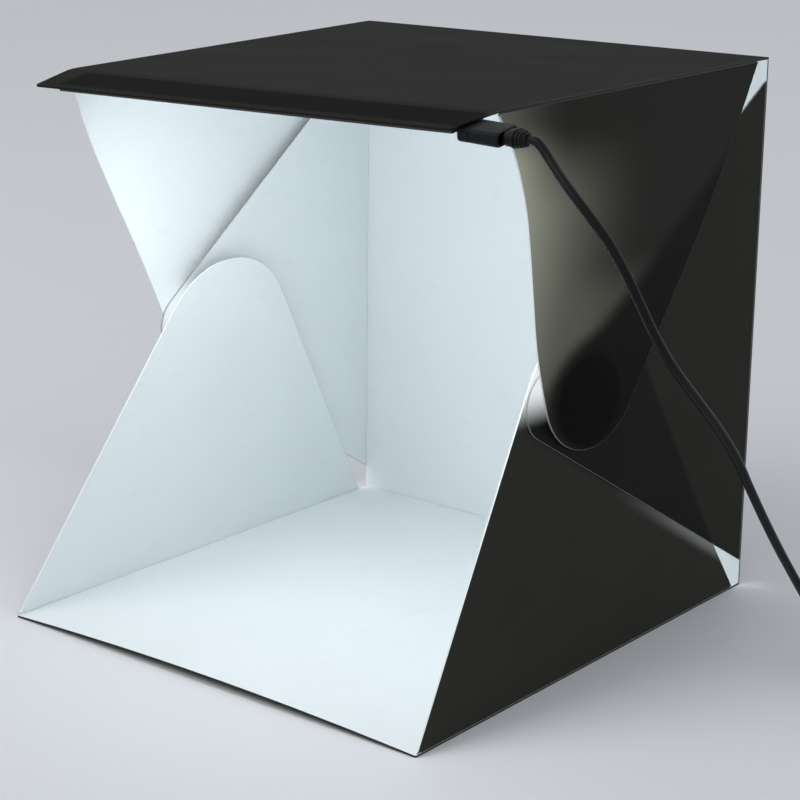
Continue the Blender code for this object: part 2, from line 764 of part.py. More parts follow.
def make_tie(surface):
    """A strap round the wound turns, at the quarter turn where both layers stack."""
    inner = COIL_OUTER - COIL_PITCH * (COIL_TURNS_SHARE - CLIMB_TURNS_SHARE / 2 - TIE_TURN_SHARE)
    inner -= COIL_PITCH * TIE_TURN_SHARE
    outer = COIL_OUTER - COIL_PITCH * TIE_TURN_SHARE
    width = outer - inner + CORD + 2 * TIE_SLACK
    thick = COIL_RISE + CORD + 2 * SEAT
    wide = width + 2 * TIE_THICK
    tall = thick + 2 * TIE_THICK
    corner = TIE_CORNER + TIE_THICK
    half = TIE_WIDTH / 2
    bm = loft((
        (-half, wide, tall, corner),
        (half, wide, tall, corner),
        (half, width, thick, TIE_CORNER),
        (-half, width, thick, TIE_CORNER),
    ), closed=True)
    place = (COIL_X, COIL_Y + (inner + outer) / 2, COIL_LOW + COIL_RISE / 2)
    add_object("cord_tie", bm, surface, place)


def make_far_plug(mouth, black, steel):
    """The full-size plug on the lead's far end, lying on the floor."""
    frame = add_frame("far_plug_frame", mouth, (0, 0, -math.pi / 2))
    shoulder = SEAT + RELIEF_LENGTH
    nose = shoulder + GRIP_LENGTH
    waist = (shoulder + nose) / 2
    slim = GRIP_WIDTH - 2 * GRIP_WAIST
    bm = loft((
        (SEAT, RELIEF_MOUTH, RELIEF_MOUTH, RELIEF_MOUTH),
        (shoulder - GRIP_CORNER, RELIEF_MOUTH + GRIP_WAIST, RELIEF_MOUTH + GRIP_WAIST, RELIEF_MOUTH),
        (shoulder, GRIP_WIDTH - 2 * GRIP_CORNER, GRIP_THICK - GRIP_CORNER / 2, GRIP_CORNER),
        (shoulder + GRIP_CORNER, GRIP_WIDTH, GRIP_THICK, GRIP_CORNER),
        (waist, slim, GRIP_THICK - GRIP_WAIST, GRIP_CORNER),
        (nose - GRIP_CORNER, GRIP_WIDTH, GRIP_THICK, GRIP_CORNER),
        (nose, GRIP_WIDTH - GRIP_CORNER / 2, GRIP_THICK - GRIP_CORNER / 2, GRIP_CORNER),
    ))
    add_object("usb_a_body", bm, black, parent=frame)
    back = nose + SEAT
    tip = back + FAR_SHELL_LENGTH
    bm = cup(back, tip, FAR_SHELL_WIDTH, FAR_SHELL_THICK, SHELL_CORNER, METAL)
    add_object("usb_a_shell", bm, steel, parent=frame)
    half = FAR_SHELL_WIDTH / 2 - METAL - SEAT
    low = -FAR_SHELL_THICK / 2 + METAL + SEAT
    bm = bmesh.new()
    block(bm, (back + METAL + SEAT, -half, low), (tip - SEAT, half, low + FAR_TONGUE_THICK))
    add_object("usb_a_tongue", bm, black, parent=frame)


def main():
    clear_scene()
    plastic = material("sheet plastic", (0.05, 0.05, 0.045), 0.55)
    black = material("black moulding", (0.012, 0.012, 0.013), 0.45)
    cord = material("cord sheath", (0.015, 0.015, 0.016), 0.5)
    strap = material("woven strap", (0.02, 0.02, 0.022), 0.85)
    board = material("circuit board", (0.01, 0.011, 0.012), 0.35)
    tape = material("foam tape", (0.6, 0.6, 0.58), 0.9)
    chip = material("light chip", (0.9, 0.85, 0.45), 0.4)
    steel = material("bright steel", (0.6, 0.6, 0.6), 0.3, 1.0)
    magnet = material("plated magnet", (0.55, 0.55, 0.56), 0.35, 1.0)

    top = add_frame("top_frame", (0, BACK_Y, HEIGHT), (TOP_TILT, 0, 0))
    make_base(plastic)
    make_back(plastic)
    make_top(plastic, top)
    make_lower_flaps(plastic, magnet)
    make_rear_flaps(plastic)
    make_upper_flaps(plastic, steel, top)

    lip = add_frame("lip_frame", (0, 0, 0), (0, 0, 0))
    lip.parent = top
    middle = strip_middle() + LIP_BEND
    drop = twist(0, middle) - TOP_TWIST / 2 * (LIP_BEND - middle) / DEPTH
    roll = math.atan2(twist(-WIDTH / 2, middle) - twist(WIDTH / 2, middle), WIDTH)
    place = Matrix.Translation((0, LIP_BEND, -SHEET - drop)) @ Matrix.Rotation(-roll, 4, "Y")
    tip_angle = LIP_ANGLE + math.atan2(TOP_TWIST / 2, DEPTH)
    lip.matrix_basis = place @ Matrix.Rotation(tip_angle, 4, "X")
    make_strip(lip, tape, board, chip)
    droop = math.asin(HOUSING_DROOP / HOUSING_LENGTH)
    inner_end = (WIDTH / 2 + HOUSING_OVERHANG - HOUSING_LENGTH, strip_middle(), -SEAT)
    mouth = (HOUSING_LENGTH, 0, -HOUSING_THICK / 2)
    place = Matrix.Translation(inner_end) @ Matrix.Rotation(droop, 4, "Y")
    socket = add_frame("socket_frame", (0, 0, 0), (0, 0, 0))
    socket.parent = lip
    socket.matrix_basis = place @ Matrix.Translation(mouth)
    make_socket(socket, black, steel)
    make_plug(socket, black, steel)

    bpy.context.view_layer.update()
    exit_point = socket.matrix_world @ Vector((PLUG_LENGTH + SEAT, 0, 0))
    free = make_cord(exit_point, cord)
    end, wound = make_coil(cord)
    print("lead: %.0f mm free, %.0f mm wound" % (free / MM, wound / MM))
    make_tie(strap)
    make_far_plug(end, black, steel)


if __name__ == "__main__":
    main()
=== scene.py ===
"""A folding light tent of creased plastic sheet, with its light strip and power lead.

Metres, +Z up. The origin is the middle of the base on the floor and the mouth faces -Y.
"""

import json
import math

import bmesh
import bpy
from mathutils import Matrix, Vector

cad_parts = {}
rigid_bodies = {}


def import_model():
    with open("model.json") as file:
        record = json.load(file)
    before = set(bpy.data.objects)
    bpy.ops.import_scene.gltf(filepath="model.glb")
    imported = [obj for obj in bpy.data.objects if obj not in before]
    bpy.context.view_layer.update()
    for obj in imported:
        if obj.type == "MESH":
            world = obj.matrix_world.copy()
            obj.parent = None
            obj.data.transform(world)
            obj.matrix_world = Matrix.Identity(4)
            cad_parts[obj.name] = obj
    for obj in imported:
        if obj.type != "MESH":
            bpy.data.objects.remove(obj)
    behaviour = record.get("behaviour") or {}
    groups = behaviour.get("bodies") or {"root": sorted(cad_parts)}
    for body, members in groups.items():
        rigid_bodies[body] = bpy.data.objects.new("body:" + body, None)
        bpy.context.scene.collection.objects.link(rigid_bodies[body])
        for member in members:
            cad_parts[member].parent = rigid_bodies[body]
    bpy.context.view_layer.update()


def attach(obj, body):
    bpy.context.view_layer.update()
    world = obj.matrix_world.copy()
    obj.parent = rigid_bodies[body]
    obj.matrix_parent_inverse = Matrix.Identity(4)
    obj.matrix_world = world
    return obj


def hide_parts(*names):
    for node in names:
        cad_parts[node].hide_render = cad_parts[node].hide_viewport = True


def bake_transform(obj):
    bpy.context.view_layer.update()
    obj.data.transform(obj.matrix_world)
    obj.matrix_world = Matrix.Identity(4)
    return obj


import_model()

bl_info = {
    "name": "Folding Light Tent",
    "version": (1, 0, 0),
    "blender": (4, 5, 0),
    "location": "View3D > Sidebar > Light Tent",
    "description": "Builds a folding light tent with its light strip and power lead",
    "category": "Add Mesh",
}

MM = 0.001
SIDES = (("left", -1), ("right", 1))
SMOOTH = math.radians(35)
RIM_ANGLE = math.radians(60)
QUARTER = math.pi / 2

# The tent
WIDTH = 220 * MM
DEPTH = 238 * MM
HEIGHT = 238.5 * MM
SHEET = 0.8 * MM
CREASE = 0.3 * MM
SEAT = 0.3 * MM
WAIST = 12.7 * MM
HALF = WIDTH / 2
MOUTH = -DEPTH / 2
BACK = DEPTH / 2
ROOT = SHEET + CREASE
TOP_TILT = math.atan2(3 * MM, DEPTH)
TOP_PLACE = Matrix.Translation((0, BACK, HEIGHT)) @ Matrix.Rotation(TOP_TILT, 4, "X")

# The base's bowed front edge
BOW = 2.8 * MM
BOW_START = MOUTH + DEPTH * 0.46

# The top panel's drooping lip, in the top's own frame
TOP_TWIST = 4 * MM
LIP_TIP = -DEPTH + 18.5 * MM
LIP_LENGTH = 23 * MM
LIP_BEND = LIP_TIP + LIP_LENGTH
LIP_TAPER = 3 * MM
LIP_ROUND = 4 * MM
LIP_ANGLE = math.asin(3.7 * MM / LIP_LENGTH)

# Flaps
LOWER_LEAN = math.atan2(WAIST, HEIGHT / 2)
LOWER_FRONT = MOUTH + 1 * MM
LOWER_REAR = BACK - 7 * MM
LOWER_PEAK = (MOUTH + DEPTH * 0.52, HEIGHT * 0.741)
LOWER_ROUND = 42.8 * MM
REAR_LEAN = math.atan2(WAIST * 0.774, DEPTH * 0.63)
REAR_PEAK = (DEPTH * 0.7155, HEIGHT * 0.475)
REAR_FOOT = 12 * MM
REAR_HEAD = HEIGHT - 10 * MM
REAR_ROUND = 15 * MM
UPPER_PEAK = (DEPTH * (0.461 - 1), HEIGHT * 0.777)
UPPER_FRONT = -DEPTH + 43 * MM
UPPER_REAR = -9 * MM
UPPER_ROUND = 32 * MM
UPPER_RUN = HEIGHT * 0.629
# Where an upper flap lies below its crease: share of its run, and share of the rear flap's lean
UPPER_CURVE = (
    (-0.07, 0.26),
    (0, 0),
    (0.07, -0.26),
    (0.16, -0.36),
    (0.26, -0.33),
    (0.37, -0.14),
    (0.48, 0.1),
    (0.63, 0.44),
    (0.75, 0.61),
    (0.86, 0.69),
    (1, 0.74),
    (1.2, 0.76),
)

# Webs along the creases
WEB_LOW = 0.25 * MM
WEB_HIGH = ROOT + 0.6 * MM
WEB_END = 0.5 * MM
WEB_STEPS = 8

# Discs that hold three flaps together
DISC_RADIUS = 6 * MM
MAGNET = 2 * MM
KEEPER = 0.6 * MM
DISC_Y = MOUTH + DEPTH * 0.513
DISC_Z = HEIGHT * 0.499

# Light strip, in the lip's own frame
STRIP_WIDTH = 16 * MM
STRIP_LEFT = -HALF + 13 * MM
STRIP_RIGHT = HALF - 5 * MM - 2 * SEAT
TAPE = 0.5 * MM
BOARD = 1.2 * MM
CHIPS = 20
CHIP_LENGTH = 3.5 * MM
CHIP_WIDTH = 2.8 * MM
CHIP_THICK = 0.8 * MM
CHIP_CORNER = 0.3 * MM
# The lens's rim, dish and crown: how far each inset goes in, and how far up
LENS_INSETS = ((0.35 * MM, 0), (0.12 * MM, -0.18 * MM), (0.5 * MM, 0.06 * MM))
# Solder feet at both ends of a chip
FOOT = Vector((0.42, 0.7, 0.28)) * MM
FOOT_OUT = 1.68 * MM
FOOT_DOWN = 0.02 * MM
RESISTOR_OFFSET = 4.4 * MM
RESISTOR_HALF = 0.6 * MM
RESISTOR_SINK = 0.1 * MM
# Each resistor's body and its two ends: place along it, half length and height
RESISTOR_BODY = ((0, 0.68 * MM, 0.50 * MM),)
RESISTOR_ENDS = ((-0.84 * MM, 0.17 * MM, 0.52 * MM), (0.84 * MM, 0.17 * MM, 0.52 * MM))

# Socket and plug
HOUSING_LENGTH = 18 * MM
HOUSING_WIDTH = 13 * MM
HOUSING_THICK = 5.4 * MM
HOUSING_OVERHANG = 13 * MM
HOUSING_DROOP = 1 * MM
METAL = 0.3 * MM
PLUG_WIDTH = 6.7 * MM
PLUG_THICK = 2.7 * MM
PLUG_REACH = 6.3 * MM
SOCKET_WIDTH = PLUG_WIDTH + 2 * (SEAT + METAL)
SOCKET_THICK = PLUG_THICK + 2 * (SEAT + METAL)
SOCKET_DEPTH = PLUG_REACH + 1.3 * MM
TONGUE_HALF = PLUG_WIDTH / 2 - METAL - 0.5 * MM
TONGUE = (PLUG_THICK - 2 * METAL - 3 * SEAT) / 2
NECK_LENGTH = 3.5 * MM
BOOT_LENGTH = 5.1 * MM
PLUG_LENGTH = NECK_LENGTH + BOOT_LENGTH

# Lead
CORD = 3.5 * MM
ROUTE_STEPS = 12
COIL_OUTER = 24 * MM
COIL_PITCH = 4 * MM
COIL_RISE = 4 * MM
COIL_TURNS = 2.75
CLIMB_TURNS = 0.5
LOOP_STEPS = 36
COIL_X = 210.8 * MM
COIL_Y = 96 * MM
COIL_LOW = 3 * MM
TAIL_LENGTH = 15 * MM
TAIL_STEPS = 8
STRAP_HALF = 3 * MM
STRAP_THICK = 0.8 * MM
STRAP_SLACK = 0.8 * MM
STRAP_CORNER = 2.8 * MM
GRIP_WIDTH = 15.6 * MM
GRIP_THICK = 8 * MM
GRIP_LENGTH = 26 * MM
FAR_WIDTH = 12 * MM
FAR_THICK = 4.5 * MM
FAR_LENGTH = 15 * MM
ROUTE = (
    (0.1349, -0.0878, 0.2291),
    (0.1367, -0.0879, 0.2281),
    (0.1390, -0.0883, 0.2261),
    (0.1420, -0.0891, 0.2235),
    (0.1460, -0.0908, 0.2205),
    (0.1510, -0.0928, 0.2170),
    (0.1565, -0.0942, 0.2128),
    (0.1620, -0.0946, 0.2079),
    (0.1670, -0.0936, 0.2022),
    (0.1700, -0.0925, 0.1980),
    (0.1745, -0.0903, 0.1896),
    (0.1785, -0.0876, 0.1802),
    (0.1820, -0.0836, 0.1696),
    (0.1846, -0.0774, 0.1590),
    (0.1865, -0.0690, 0.1490),
    (0.1878, -0.0585, 0.1386),
    (0.1888, -0.0455, 0.1260),
    (0.1895, -0.0330, 0.1125),
    (0.1899, -0.0225, 0.0985),
    (0.1901, -0.0115, 0.0845),
    (0.1903, 0.0005, 0.0700),
    (0.1903, 0.0130, 0.0560),
    (0.1902, 0.0255, 0.0425),
    (0.1898, 0.0380, 0.0300),
    (0.1890, 0.0500, 0.0190),
    (0.1880, 0.0610, 0.0106),
    (0.1872, 0.0710, 0.0056),
    (0.1869, 0.0800, 0.0035),
)

# Camera, worked out from the photograph's corners and creases
LENS = 95.936
SENSOR = 36
CAMERA_PLACE = (0.55583, -0.69129, 0.34362)
CAMERA_TURNS = (74.188, -0.5625, 38.6457)
FLOOR_HALF = 6

# Finishes of the sheet
GRAIN = 0.55 * MM
WAVES = 48 * MM
WAVE_DEPTH = 1.2 * MM
SCUFF_STRETCH = (1, 1, 2.2)


def colour_setting(name, description, default):
    return bpy.props.FloatVectorProperty(name=name, description=description, default=default,
                                         size=3, min=0, max=1, subtype="COLOR")


def length_setting(name, description, default):
    return bpy.props.FloatProperty(name=name, description=description, default=default,
                                   min=0, subtype="DISTANCE", unit="LENGTH", precision=5)


class LIGHTTENT_PG_sheet(bpy.types.PropertyGroup):
    """Sizes and colours of the creased sheet"""

    thickness: length_setting("Thickness", "Thickness of the plastic sheet", SHEET)
    rim: length_setting("Edge rounding", "Rounding of the die-cut edges", 0.12 * MM)
    grid: length_setting("Grid", "Spacing of the mesh lines on a panel", 6 * MM)
    web: length_setting("Web", "Thickness of the scored web along a crease", 0.35 * MM)
    outside: colour_setting("Outside", "Charcoal outer face", (0.030, 0.0305, 0.0245))
    inside: colour_setting("Inside", "White reflecting face", (0.825, 0.873, 0.888))
    cut: colour_setting("Cut edge", "Die-cut edge of the sheet", (0.80, 0.84, 0.84))
    crease: colour_setting("Crease", "Plastic whitened by bending", (0.058, 0.060, 0.053))
    # Colour of the painted glow on the upper flaps' outer faces, in place of lamplight coming
    # through the sheet
    show: colour_setting("Light shown", "Lamplight that shows through a flap", (0.30, 0.315, 0.25))


class LIGHTTENT_PG_strip(bpy.types.PropertyGroup):
    """Colours and brightness of the light strip"""

    board: colour_setting("Board", "Solder mask of the circuit board", (0.012, 0.013, 0.015))
    pads: colour_setting("Pads", "Tinned pads and solder", (0.62, 0.62, 0.60))
    package: colour_setting("Package", "Moulded body of a light chip", (0.80, 0.80, 0.77))
    lens: colour_setting("Lens", "Phosphor in a light chip", (0.90, 0.74, 0.20))
    glow: bpy.props.FloatProperty(name="Glow", description="Brightness of the lit chips",
                                  default=4, min=0)
    tape: colour_setting("Tape", "Foam tape that holds the board", (0.62, 0.62, 0.60))


class LIGHTTENT_PG_lead(bpy.types.PropertyGroup):
    """Sizes and colours of the lead and its plugs"""

    diameter: length_setting("Lead diameter", "Outer diameter of the lead", CORD)
    sheath: colour_setting("Sheath", "Outer sheath of the lead", (0.0045, 0.0045, 0.005))
    moulding: colour_setting("Moulding", "Plug bodies and socket housing", (0.005, 0.0055, 0.006))
    strap: colour_setting("Strap", "Woven strap round the coil", (0.020, 0.020, 0.022))
    steel: colour_setting("Steel", "Connector shells", (0.60, 0.60, 0.59))
    gold: colour_setting("Contacts", "Gold-plated contacts", (0.80, 0.58, 0.22))


class LIGHTTENT_PG_stage(bpy.types.PropertyGroup):
    """Floor, lamps and backdrop"""

    floor: colour_setting("Floor", "Pale floor", (0.74, 0.75, 0.77))
    key: bpy.props.FloatProperty(name="Key lamp", description="Power of the large soft lamp",
                                 default=11, min=0, unit="POWER")
    inner: bpy.props.FloatProperty(name="Tent lamp", description="Power of the lamp in the tent",
                                   default=0.19, min=0, unit="POWER")
    sky: bpy.props.FloatProperty(name="Sky", description="Strength of the even light all round",
                                 default=0.68, min=0)


class Value:
    """An output socket that takes part in sums; each sum adds its Math node."""

    def __init__(self, finish, socket):
        self.finish = finish
        self.socket = socket

    def math(self, operation, *others):
        return self.finish.math(operation, self, *others)

    def __add__(self, other):
        return self.math("ADD", other)

    def __sub__(self, other):
        return self.math("SUBTRACT", other)

    def __rsub__(self, other):
        return self.finish.math("SUBTRACT", other, self)

    def __mul__(self, other):
        return self.math("MULTIPLY", other)

    def __truediv__(self, other):
        return self.math("DIVIDE", other)

    def __rtruediv__(self, other):
        return self.finish.math("DIVIDE", other, self)

    def __pow__(self, other):
        return self.math("POWER", other)

    def __abs__(self):
        return self.math("ABSOLUTE")

    __radd__ = __add__
    __rmul__ = __mul__

    def least(self, other):
        return self.math("MINIMUM", other)

    def most(self, other):
        return self.math("MAXIMUM", other)

    def wave(self, length):
        """A sine from 0 to 1 that repeats each length."""
        return (self * (math.tau / length)).math("SINE") * 0.5 + 0.5

    def rise(self, low, high):
        """0 below low and 1 above high, or the other way round where low is the greater."""
        start, end, turned = (low, high, False) if low < high else (high, low, True)
        step = self.finish.node("ShaderNodeMapRange", {"interpolation_type": "SMOOTHSTEP"},
                                {"Value": self, "From Min": start, "From Max": end})
        return 1 - step if turned else step


class Finish:
    """A procedural material with one Principled shader."""

    def __init__(self, name, **constants):
        self.material = bpy.data.materials.new(name)
        self.material.use_nodes = True
        self.tree = self.material.node_tree
        self.shader = self.tree.nodes["Principled BSDF"]
        for socket, value in constants.items():
            self.shader.inputs[socket.replace("_", " ")].default_value = value

    def feed(self, socket, value):
        if isinstance(value, Value):
            self.tree.links.new(value.socket, socket)
        elif value is not None:
            socket.default_value = value

    def node(self, kind, settings, sockets, output=0):
        """Add a node: its settings first, then the values or links of its sockets."""
        made = self.tree.nodes.new(kind)
        for name, value in settings.items():
            setattr(made, name, value)
        for name, value in sockets.items():
            self.feed(made.inputs[name], value)
        if isinstance(output, tuple):
            return [Value(self, made.outputs[name]) for name in output]
        return Value(self, made.outputs[output])

    def math(self, operation, *values):
        return self.node("ShaderNodeMath", {"operation": operation}, dict(enumerate(values)))

    def place(self):
        return self.node("ShaderNodeTexCoord", {}, {}, "Object")

    def axes(self, vector):
        return self.node("ShaderNodeSeparateXYZ", {}, {0: vector}, ("X", "Y", "Z"))

    def stretched(self, vector, factors):
        return self.node("ShaderNodeVectorMath", {"operation": "MULTIPLY"}, {0: vector, 1: factors})

    def noise(self, vector, size, detail=2):
        """Soft noise with features about one size across."""
        return self.node("ShaderNodeTexNoise", {}, {"Vector": vector, "Scale": 1 / size,
                                                    "Detail": detail})

    def cells(self, vector, size):
        return self.node("ShaderNodeTexVoronoi", {}, {"Vector": vector, "Scale": 1 / size})

    def mix(self, factor, first, second):
        """A colour between two others."""
        sockets = {0: factor, 6: opaque(first), 7: opaque(second)}
        return self.node("ShaderNodeMix", {"data_type": "RGBA"}, sockets, 2)

    def scaled(self, colour, factor):
        """A colour made darker or lighter."""
        return self.node("ShaderNodeVectorMath", {"operation": "SCALE"},
                         {0: colour, "Scale": factor})

    def bump(self, height, distance, under=None):
        """A normal from a height between 0 and 1."""
        return self.node("ShaderNodeBump", {}, {"Height": height, "Distance": distance,
                                                "Normal": under})

    def set(self, **sockets):
        for socket, value in sockets.items():
            self.feed(self.shader.inputs[socket.replace("_", " ")], value)


def opaque(colour):
    return colour if isinstance(colour, Value) else (*colour, 1)


def add_piece(name, bm, body, surfaces, nodes=(), place=None):
    """Turn a bmesh into a piece that rides on a body and stands for its CAD nodes."""
    if place:
        bmesh.ops.transform(bm, matrix=place, verts=bm.verts)
    mesh = bpy.data.meshes.new(name)
    bm.to_mesh(mesh)
    bm.free()
    mesh.shade_smooth()
    mesh.set_sharp_from_angle(angle=SMOOTH)
    for surface in surfaces:
        mesh.materials.append(bpy.data.materials[surface])
    obj = bpy.data.objects.new(name, mesh)
    bpy.context.scene.collection.objects.link(obj)
    if body:
        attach(obj, body)
    if nodes:
        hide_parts(*nodes)
    return obj


def thicken(obj, name, thickness):
    wall = obj.modifiers.new(name, "SOLIDIFY")
    wall.thickness = thickness
    wall.offset = -1
    return wall


def trim_rims(obj, width):
    trim = obj.modifiers.new("edge", "BEVEL")
    trim.width = width
    trim.segments = 2
    trim.limit_method = "ANGLE"
    trim.angle_limit = RIM_ANGLE
    return trim


def spun_corner(bm, before, corner, after, radius, steps):
    """Spin the arc that rounds a corner; returns its first and last vertices."""
    back = (before - corner).normalized()
    ahead = (after - corner).normalized()
    half = back.angle(ahead) / 2
    centre = corner + (back + ahead).normalized() * radius / math.sin(half)
    first = bm.verts.new(corner + back * radius / math.tan(half))
    turn = math.copysign(math.pi - 2 * half, ahead.cross(back).z)
    made = bmesh.ops.spin(bm, geom=[first], cent=centre, axis=(0, 0, 1), angle=turn, steps=steps)
    return first, made["geom_last"][0]


def traced(corners, steps=16):
    """A flat face whose outline runs through corners, each with its own radius."""
    bm = bmesh.new()
    places = [Vector((*point, 0)) for point, _ in corners]
    ends = []
    for index, (_, radius) in enumerate(corners):
        if radius:
            before = places[index - 1]
            after = places[(index + 1) % len(places)]
            ends.append(spun_corner(bm, before, places[index], after, radius, steps))
        else:
            vert = bm.verts.new(places[index])
            ends.append((vert, vert))
    for (_, last), (first, _) in zip(ends, ends[1:] + ends[:1]):
        bm.edges.new((last, first))
    bmesh.ops.edgeloop_fill(bm, edges=bm.edges[:])
    return bm


def cut(bm, place, normal):
    bmesh.ops.bisect_plane(bm, geom=bm.verts[:] + bm.edges[:] + bm.faces[:],
                           plane_co=place, plane_no=normal)


def cut_grid(bm, step):
    """Straight cuts both ways, about one step apart."""
    for axis in (Vector((1, 0, 0)), Vector((0, 1, 0))):
        places = [vert.co.dot(axis) for vert in bm.verts]
        low, high = min(places), max(places)
        count = max(2, round((high - low) / step))
        for index in range(1, count):
            cut(bm, axis * (low + (high - low) * index / count), axis)


def bent(bm, shape, place, outward):
    """Move a flat sheet's vertices to their bent places, with its faces pointing out."""
    for vert in bm.verts:
        vert.co = shape(vert.co.x, vert.co.y)
    bmesh.ops.transform(bm, matrix=place, verts=bm.verts)
    bm.normal_update()
    if sum(face.normal.dot(outward) for face in bm.faces) < 0:
        bmesh.ops.reverse_faces(bm, faces=bm.faces)


def add_sheet(name, bm, body, node, outer, edge, settings):
    """A piece of the sheet stock: charcoal outside, white inside, and its cut edge."""
    obj = add_piece(name, bm, body, (outer, "white face", edge), (node,))
    wall = thicken(obj, "sheet", settings.thickness)
    wall.use_even_offset = True
    wall.material_offset = 1
    wall.material_offset_rim = 2
    trim = trim_rims(obj, settings.rim)
    trim.material = 2
    trim.harden_normals = True


def add_flap(panel, side, bm, outer, edge, settings):
    """One flap of a side; lower, rear and upper flaps hang on the base, back and top."""
    add_sheet("%s_sheet_%s" % (panel, side), bm, "%s_%s" % (panel, side),
              "%s_flap_%s" % (panel, side), outer, edge, settings)


def moulding(stations, corner, bm=None, steps=4, place=None):
    """A body drawn along X from one round-cornered face, through (place, width, thickness).

    The flat face at each station stays in the mesh, across the body.
    """
    bm = bm or bmesh.new()
    known = set(bm.verts)
    start, width, thick = stations[0]
    turn = Matrix.Translation((start, 0, 0)) @ Matrix.Rotation(QUARTER, 4, "Y")
    spread = Matrix.Diagonal((thick, width, 1, 1))
    grid = bmesh.ops.create_grid(bm, x_segments=1, y_segments=1, size=0.5, matrix=turn @ spread)
    faces = set(bm.faces)
    face = grid["verts"][0].link_faces[0]
    bmesh.ops.bevel(bm, geom=grid["verts"], offset=corner, segments=steps, profile=0.5,
                    affect="VERTICES", material=-1)
    face = next(item for item in bm.faces if item not in faces or item == face)
    for before, after in zip(stations, stations[1:]):
        made = bmesh.ops.extrude_face_region(bm, geom=[face])["geom"]
        face = next(item for item in made if isinstance(item, bmesh.types.BMFace))
        spread = Matrix.Diagonal((1, after[1] / before[1], after[2] / before[2], 1))
        shift = Matrix.Translation((after[0], 0, 0)) @ spread
        shift = shift @ Matrix.Translation((-before[0], 0, 0))
        bmesh.ops.transform(bm, matrix=shift, verts=face.verts)
    bmesh.ops.recalc_face_normals(bm, faces=bm.faces)
    if place:
        fresh = [vert for vert in bm.verts if vert not in known]
        bmesh.ops.transform(bm, matrix=place, verts=fresh)
    return bm


def block(bm, low, high, edge=0.0):
    """A box between two corners, its edges rounded."""
    size = Vector(high) - Vector(low)
    middle = (Vector(high) + Vector(low)) / 2
    place = Matrix.Translation(middle) @ Matrix.Diagonal((*size, 1))
    verts = bmesh.ops.create_cube(bm, size=1, matrix=place)["verts"]
    if edge:
        edges = list({item for vert in verts for item in vert.link_edges})
        bmesh.ops.bevel(bm, geom=edges, offset=edge, segments=2, profile=0.5,
                        affect="EDGES", material=-1)


def round_rims(bm, width):
    """Round the two rims of a disc."""
    edges = [edge for edge in bm.edges if edge.calc_face_angle() > math.radians(50)]
    bmesh.ops.bevel(bm, geom=edges, offset=width, segments=2, profile=0.5, affect="EDGES",
                    material=-1, clamp_overlap=True)


def repaint(bm, count, surface):
    """Give the faces made after the first count another of the piece's finishes."""
    bm.faces.ensure_lookup_table()
    for face in bm.faces[count:]:
        face.material_index = surface


def shell(root, tip, lead_in, width, thick, corner):
    """A steel shell drawn out from its root to its tip and back inside, its tip chamfered.

    The faces that moulding leaves at its stations span the mouth.
    """
    out = math.copysign(1, tip - root)
    outer = (width, thick)
    inner = (width - 2 * METAL, thick - 2 * METAL)
    stations = ((root, *outer), (tip - out * lead_in, *outer), (tip, *inner),
                (root + out * METAL, *inner))
    return moulding(stations, corner)


def contact_tongue(low, high, edge, contacts=(), contact_edge=0.0):
    """A moulded tongue with its row of gold contacts."""
    bm = bmesh.new()
    block(bm, low, high, edge)
    count = len(bm.faces)
    for contact_low, contact_high in contacts:
        block(bm, contact_low, contact_high, contact_edge)
    repaint(bm, count, 1)
    return bm


def between(before, start, end, after, part):
    """A place on the smooth curve from start to end, given its neighbours."""
    return (start + (end - before) * part / 2
            + (before * 2 - start * 5 + end * 4 - after) * part ** 2 / 2
            + (start * 3 - before - end * 3 + after) * part ** 3 / 2)


# Places that several pieces share


def twist(x, y):
    """How far the top panel lies below its own plane, which falls towards the front left."""
    return TOP_TWIST * (-y / DEPTH) * (1 / 2 - x / WIDTH)


def strip_middle():
    """The strip's middle line, in the lip's frame, whose origin is on the bend."""
    return 4 * MM + STRIP_WIDTH / 2 - LIP_LENGTH


def chip_middle(index):
    """Where a chip's middle lies along the strip."""
    return STRIP_LEFT + (STRIP_RIGHT - STRIP_LEFT) / CHIPS * (index + 0.5)


def lip_frame():
    """The lip's underside, tipped down and rolled with the top panel's twist."""
    middle = strip_middle() + LIP_BEND
    drop = twist(0, middle) - TOP_TWIST / 2 * (LIP_BEND - middle) / DEPTH
    roll = math.atan2(twist(-HALF, middle) - twist(HALF, middle), WIDTH)
    tip = LIP_ANGLE + math.atan2(TOP_TWIST / 2, DEPTH)
    place = TOP_PLACE @ Matrix.Translation((0, LIP_BEND, -SHEET - drop))
    return place @ Matrix.Rotation(-roll, 4, "Y") @ Matrix.Rotation(tip, 4, "X")


def socket_frame():
    """The socket's mouth; the block hangs from its inner end and droops outwards."""
    inner_end = (HALF + HOUSING_OVERHANG - HOUSING_LENGTH, strip_middle(), -SEAT)
    droop = Matrix.Rotation(math.asin(HOUSING_DROOP / HOUSING_LENGTH), 4, "Y")
    mouth = Matrix.Translation((HOUSING_LENGTH, 0, -HOUSING_THICK / 2))
    return lip_frame() @ Matrix.Translation(inner_end) @ droop @ mouth


def lower_frame(sign):
    turn = Matrix.Rotation(-sign * LOWER_LEAN, 4, "Y")
    return Matrix.Translation((sign * (HALF - SHEET), 0, ROOT)) @ turn


def rear_frame(sign):
    turn = Matrix.Rotation(-sign * REAR_LEAN, 4, "Z")
    return Matrix.Translation((sign * HALF, BACK, 0)) @ turn


def upper_hinge(sign):
    return TOP_PLACE @ Matrix.Translation((sign * HALF, 0, 0))


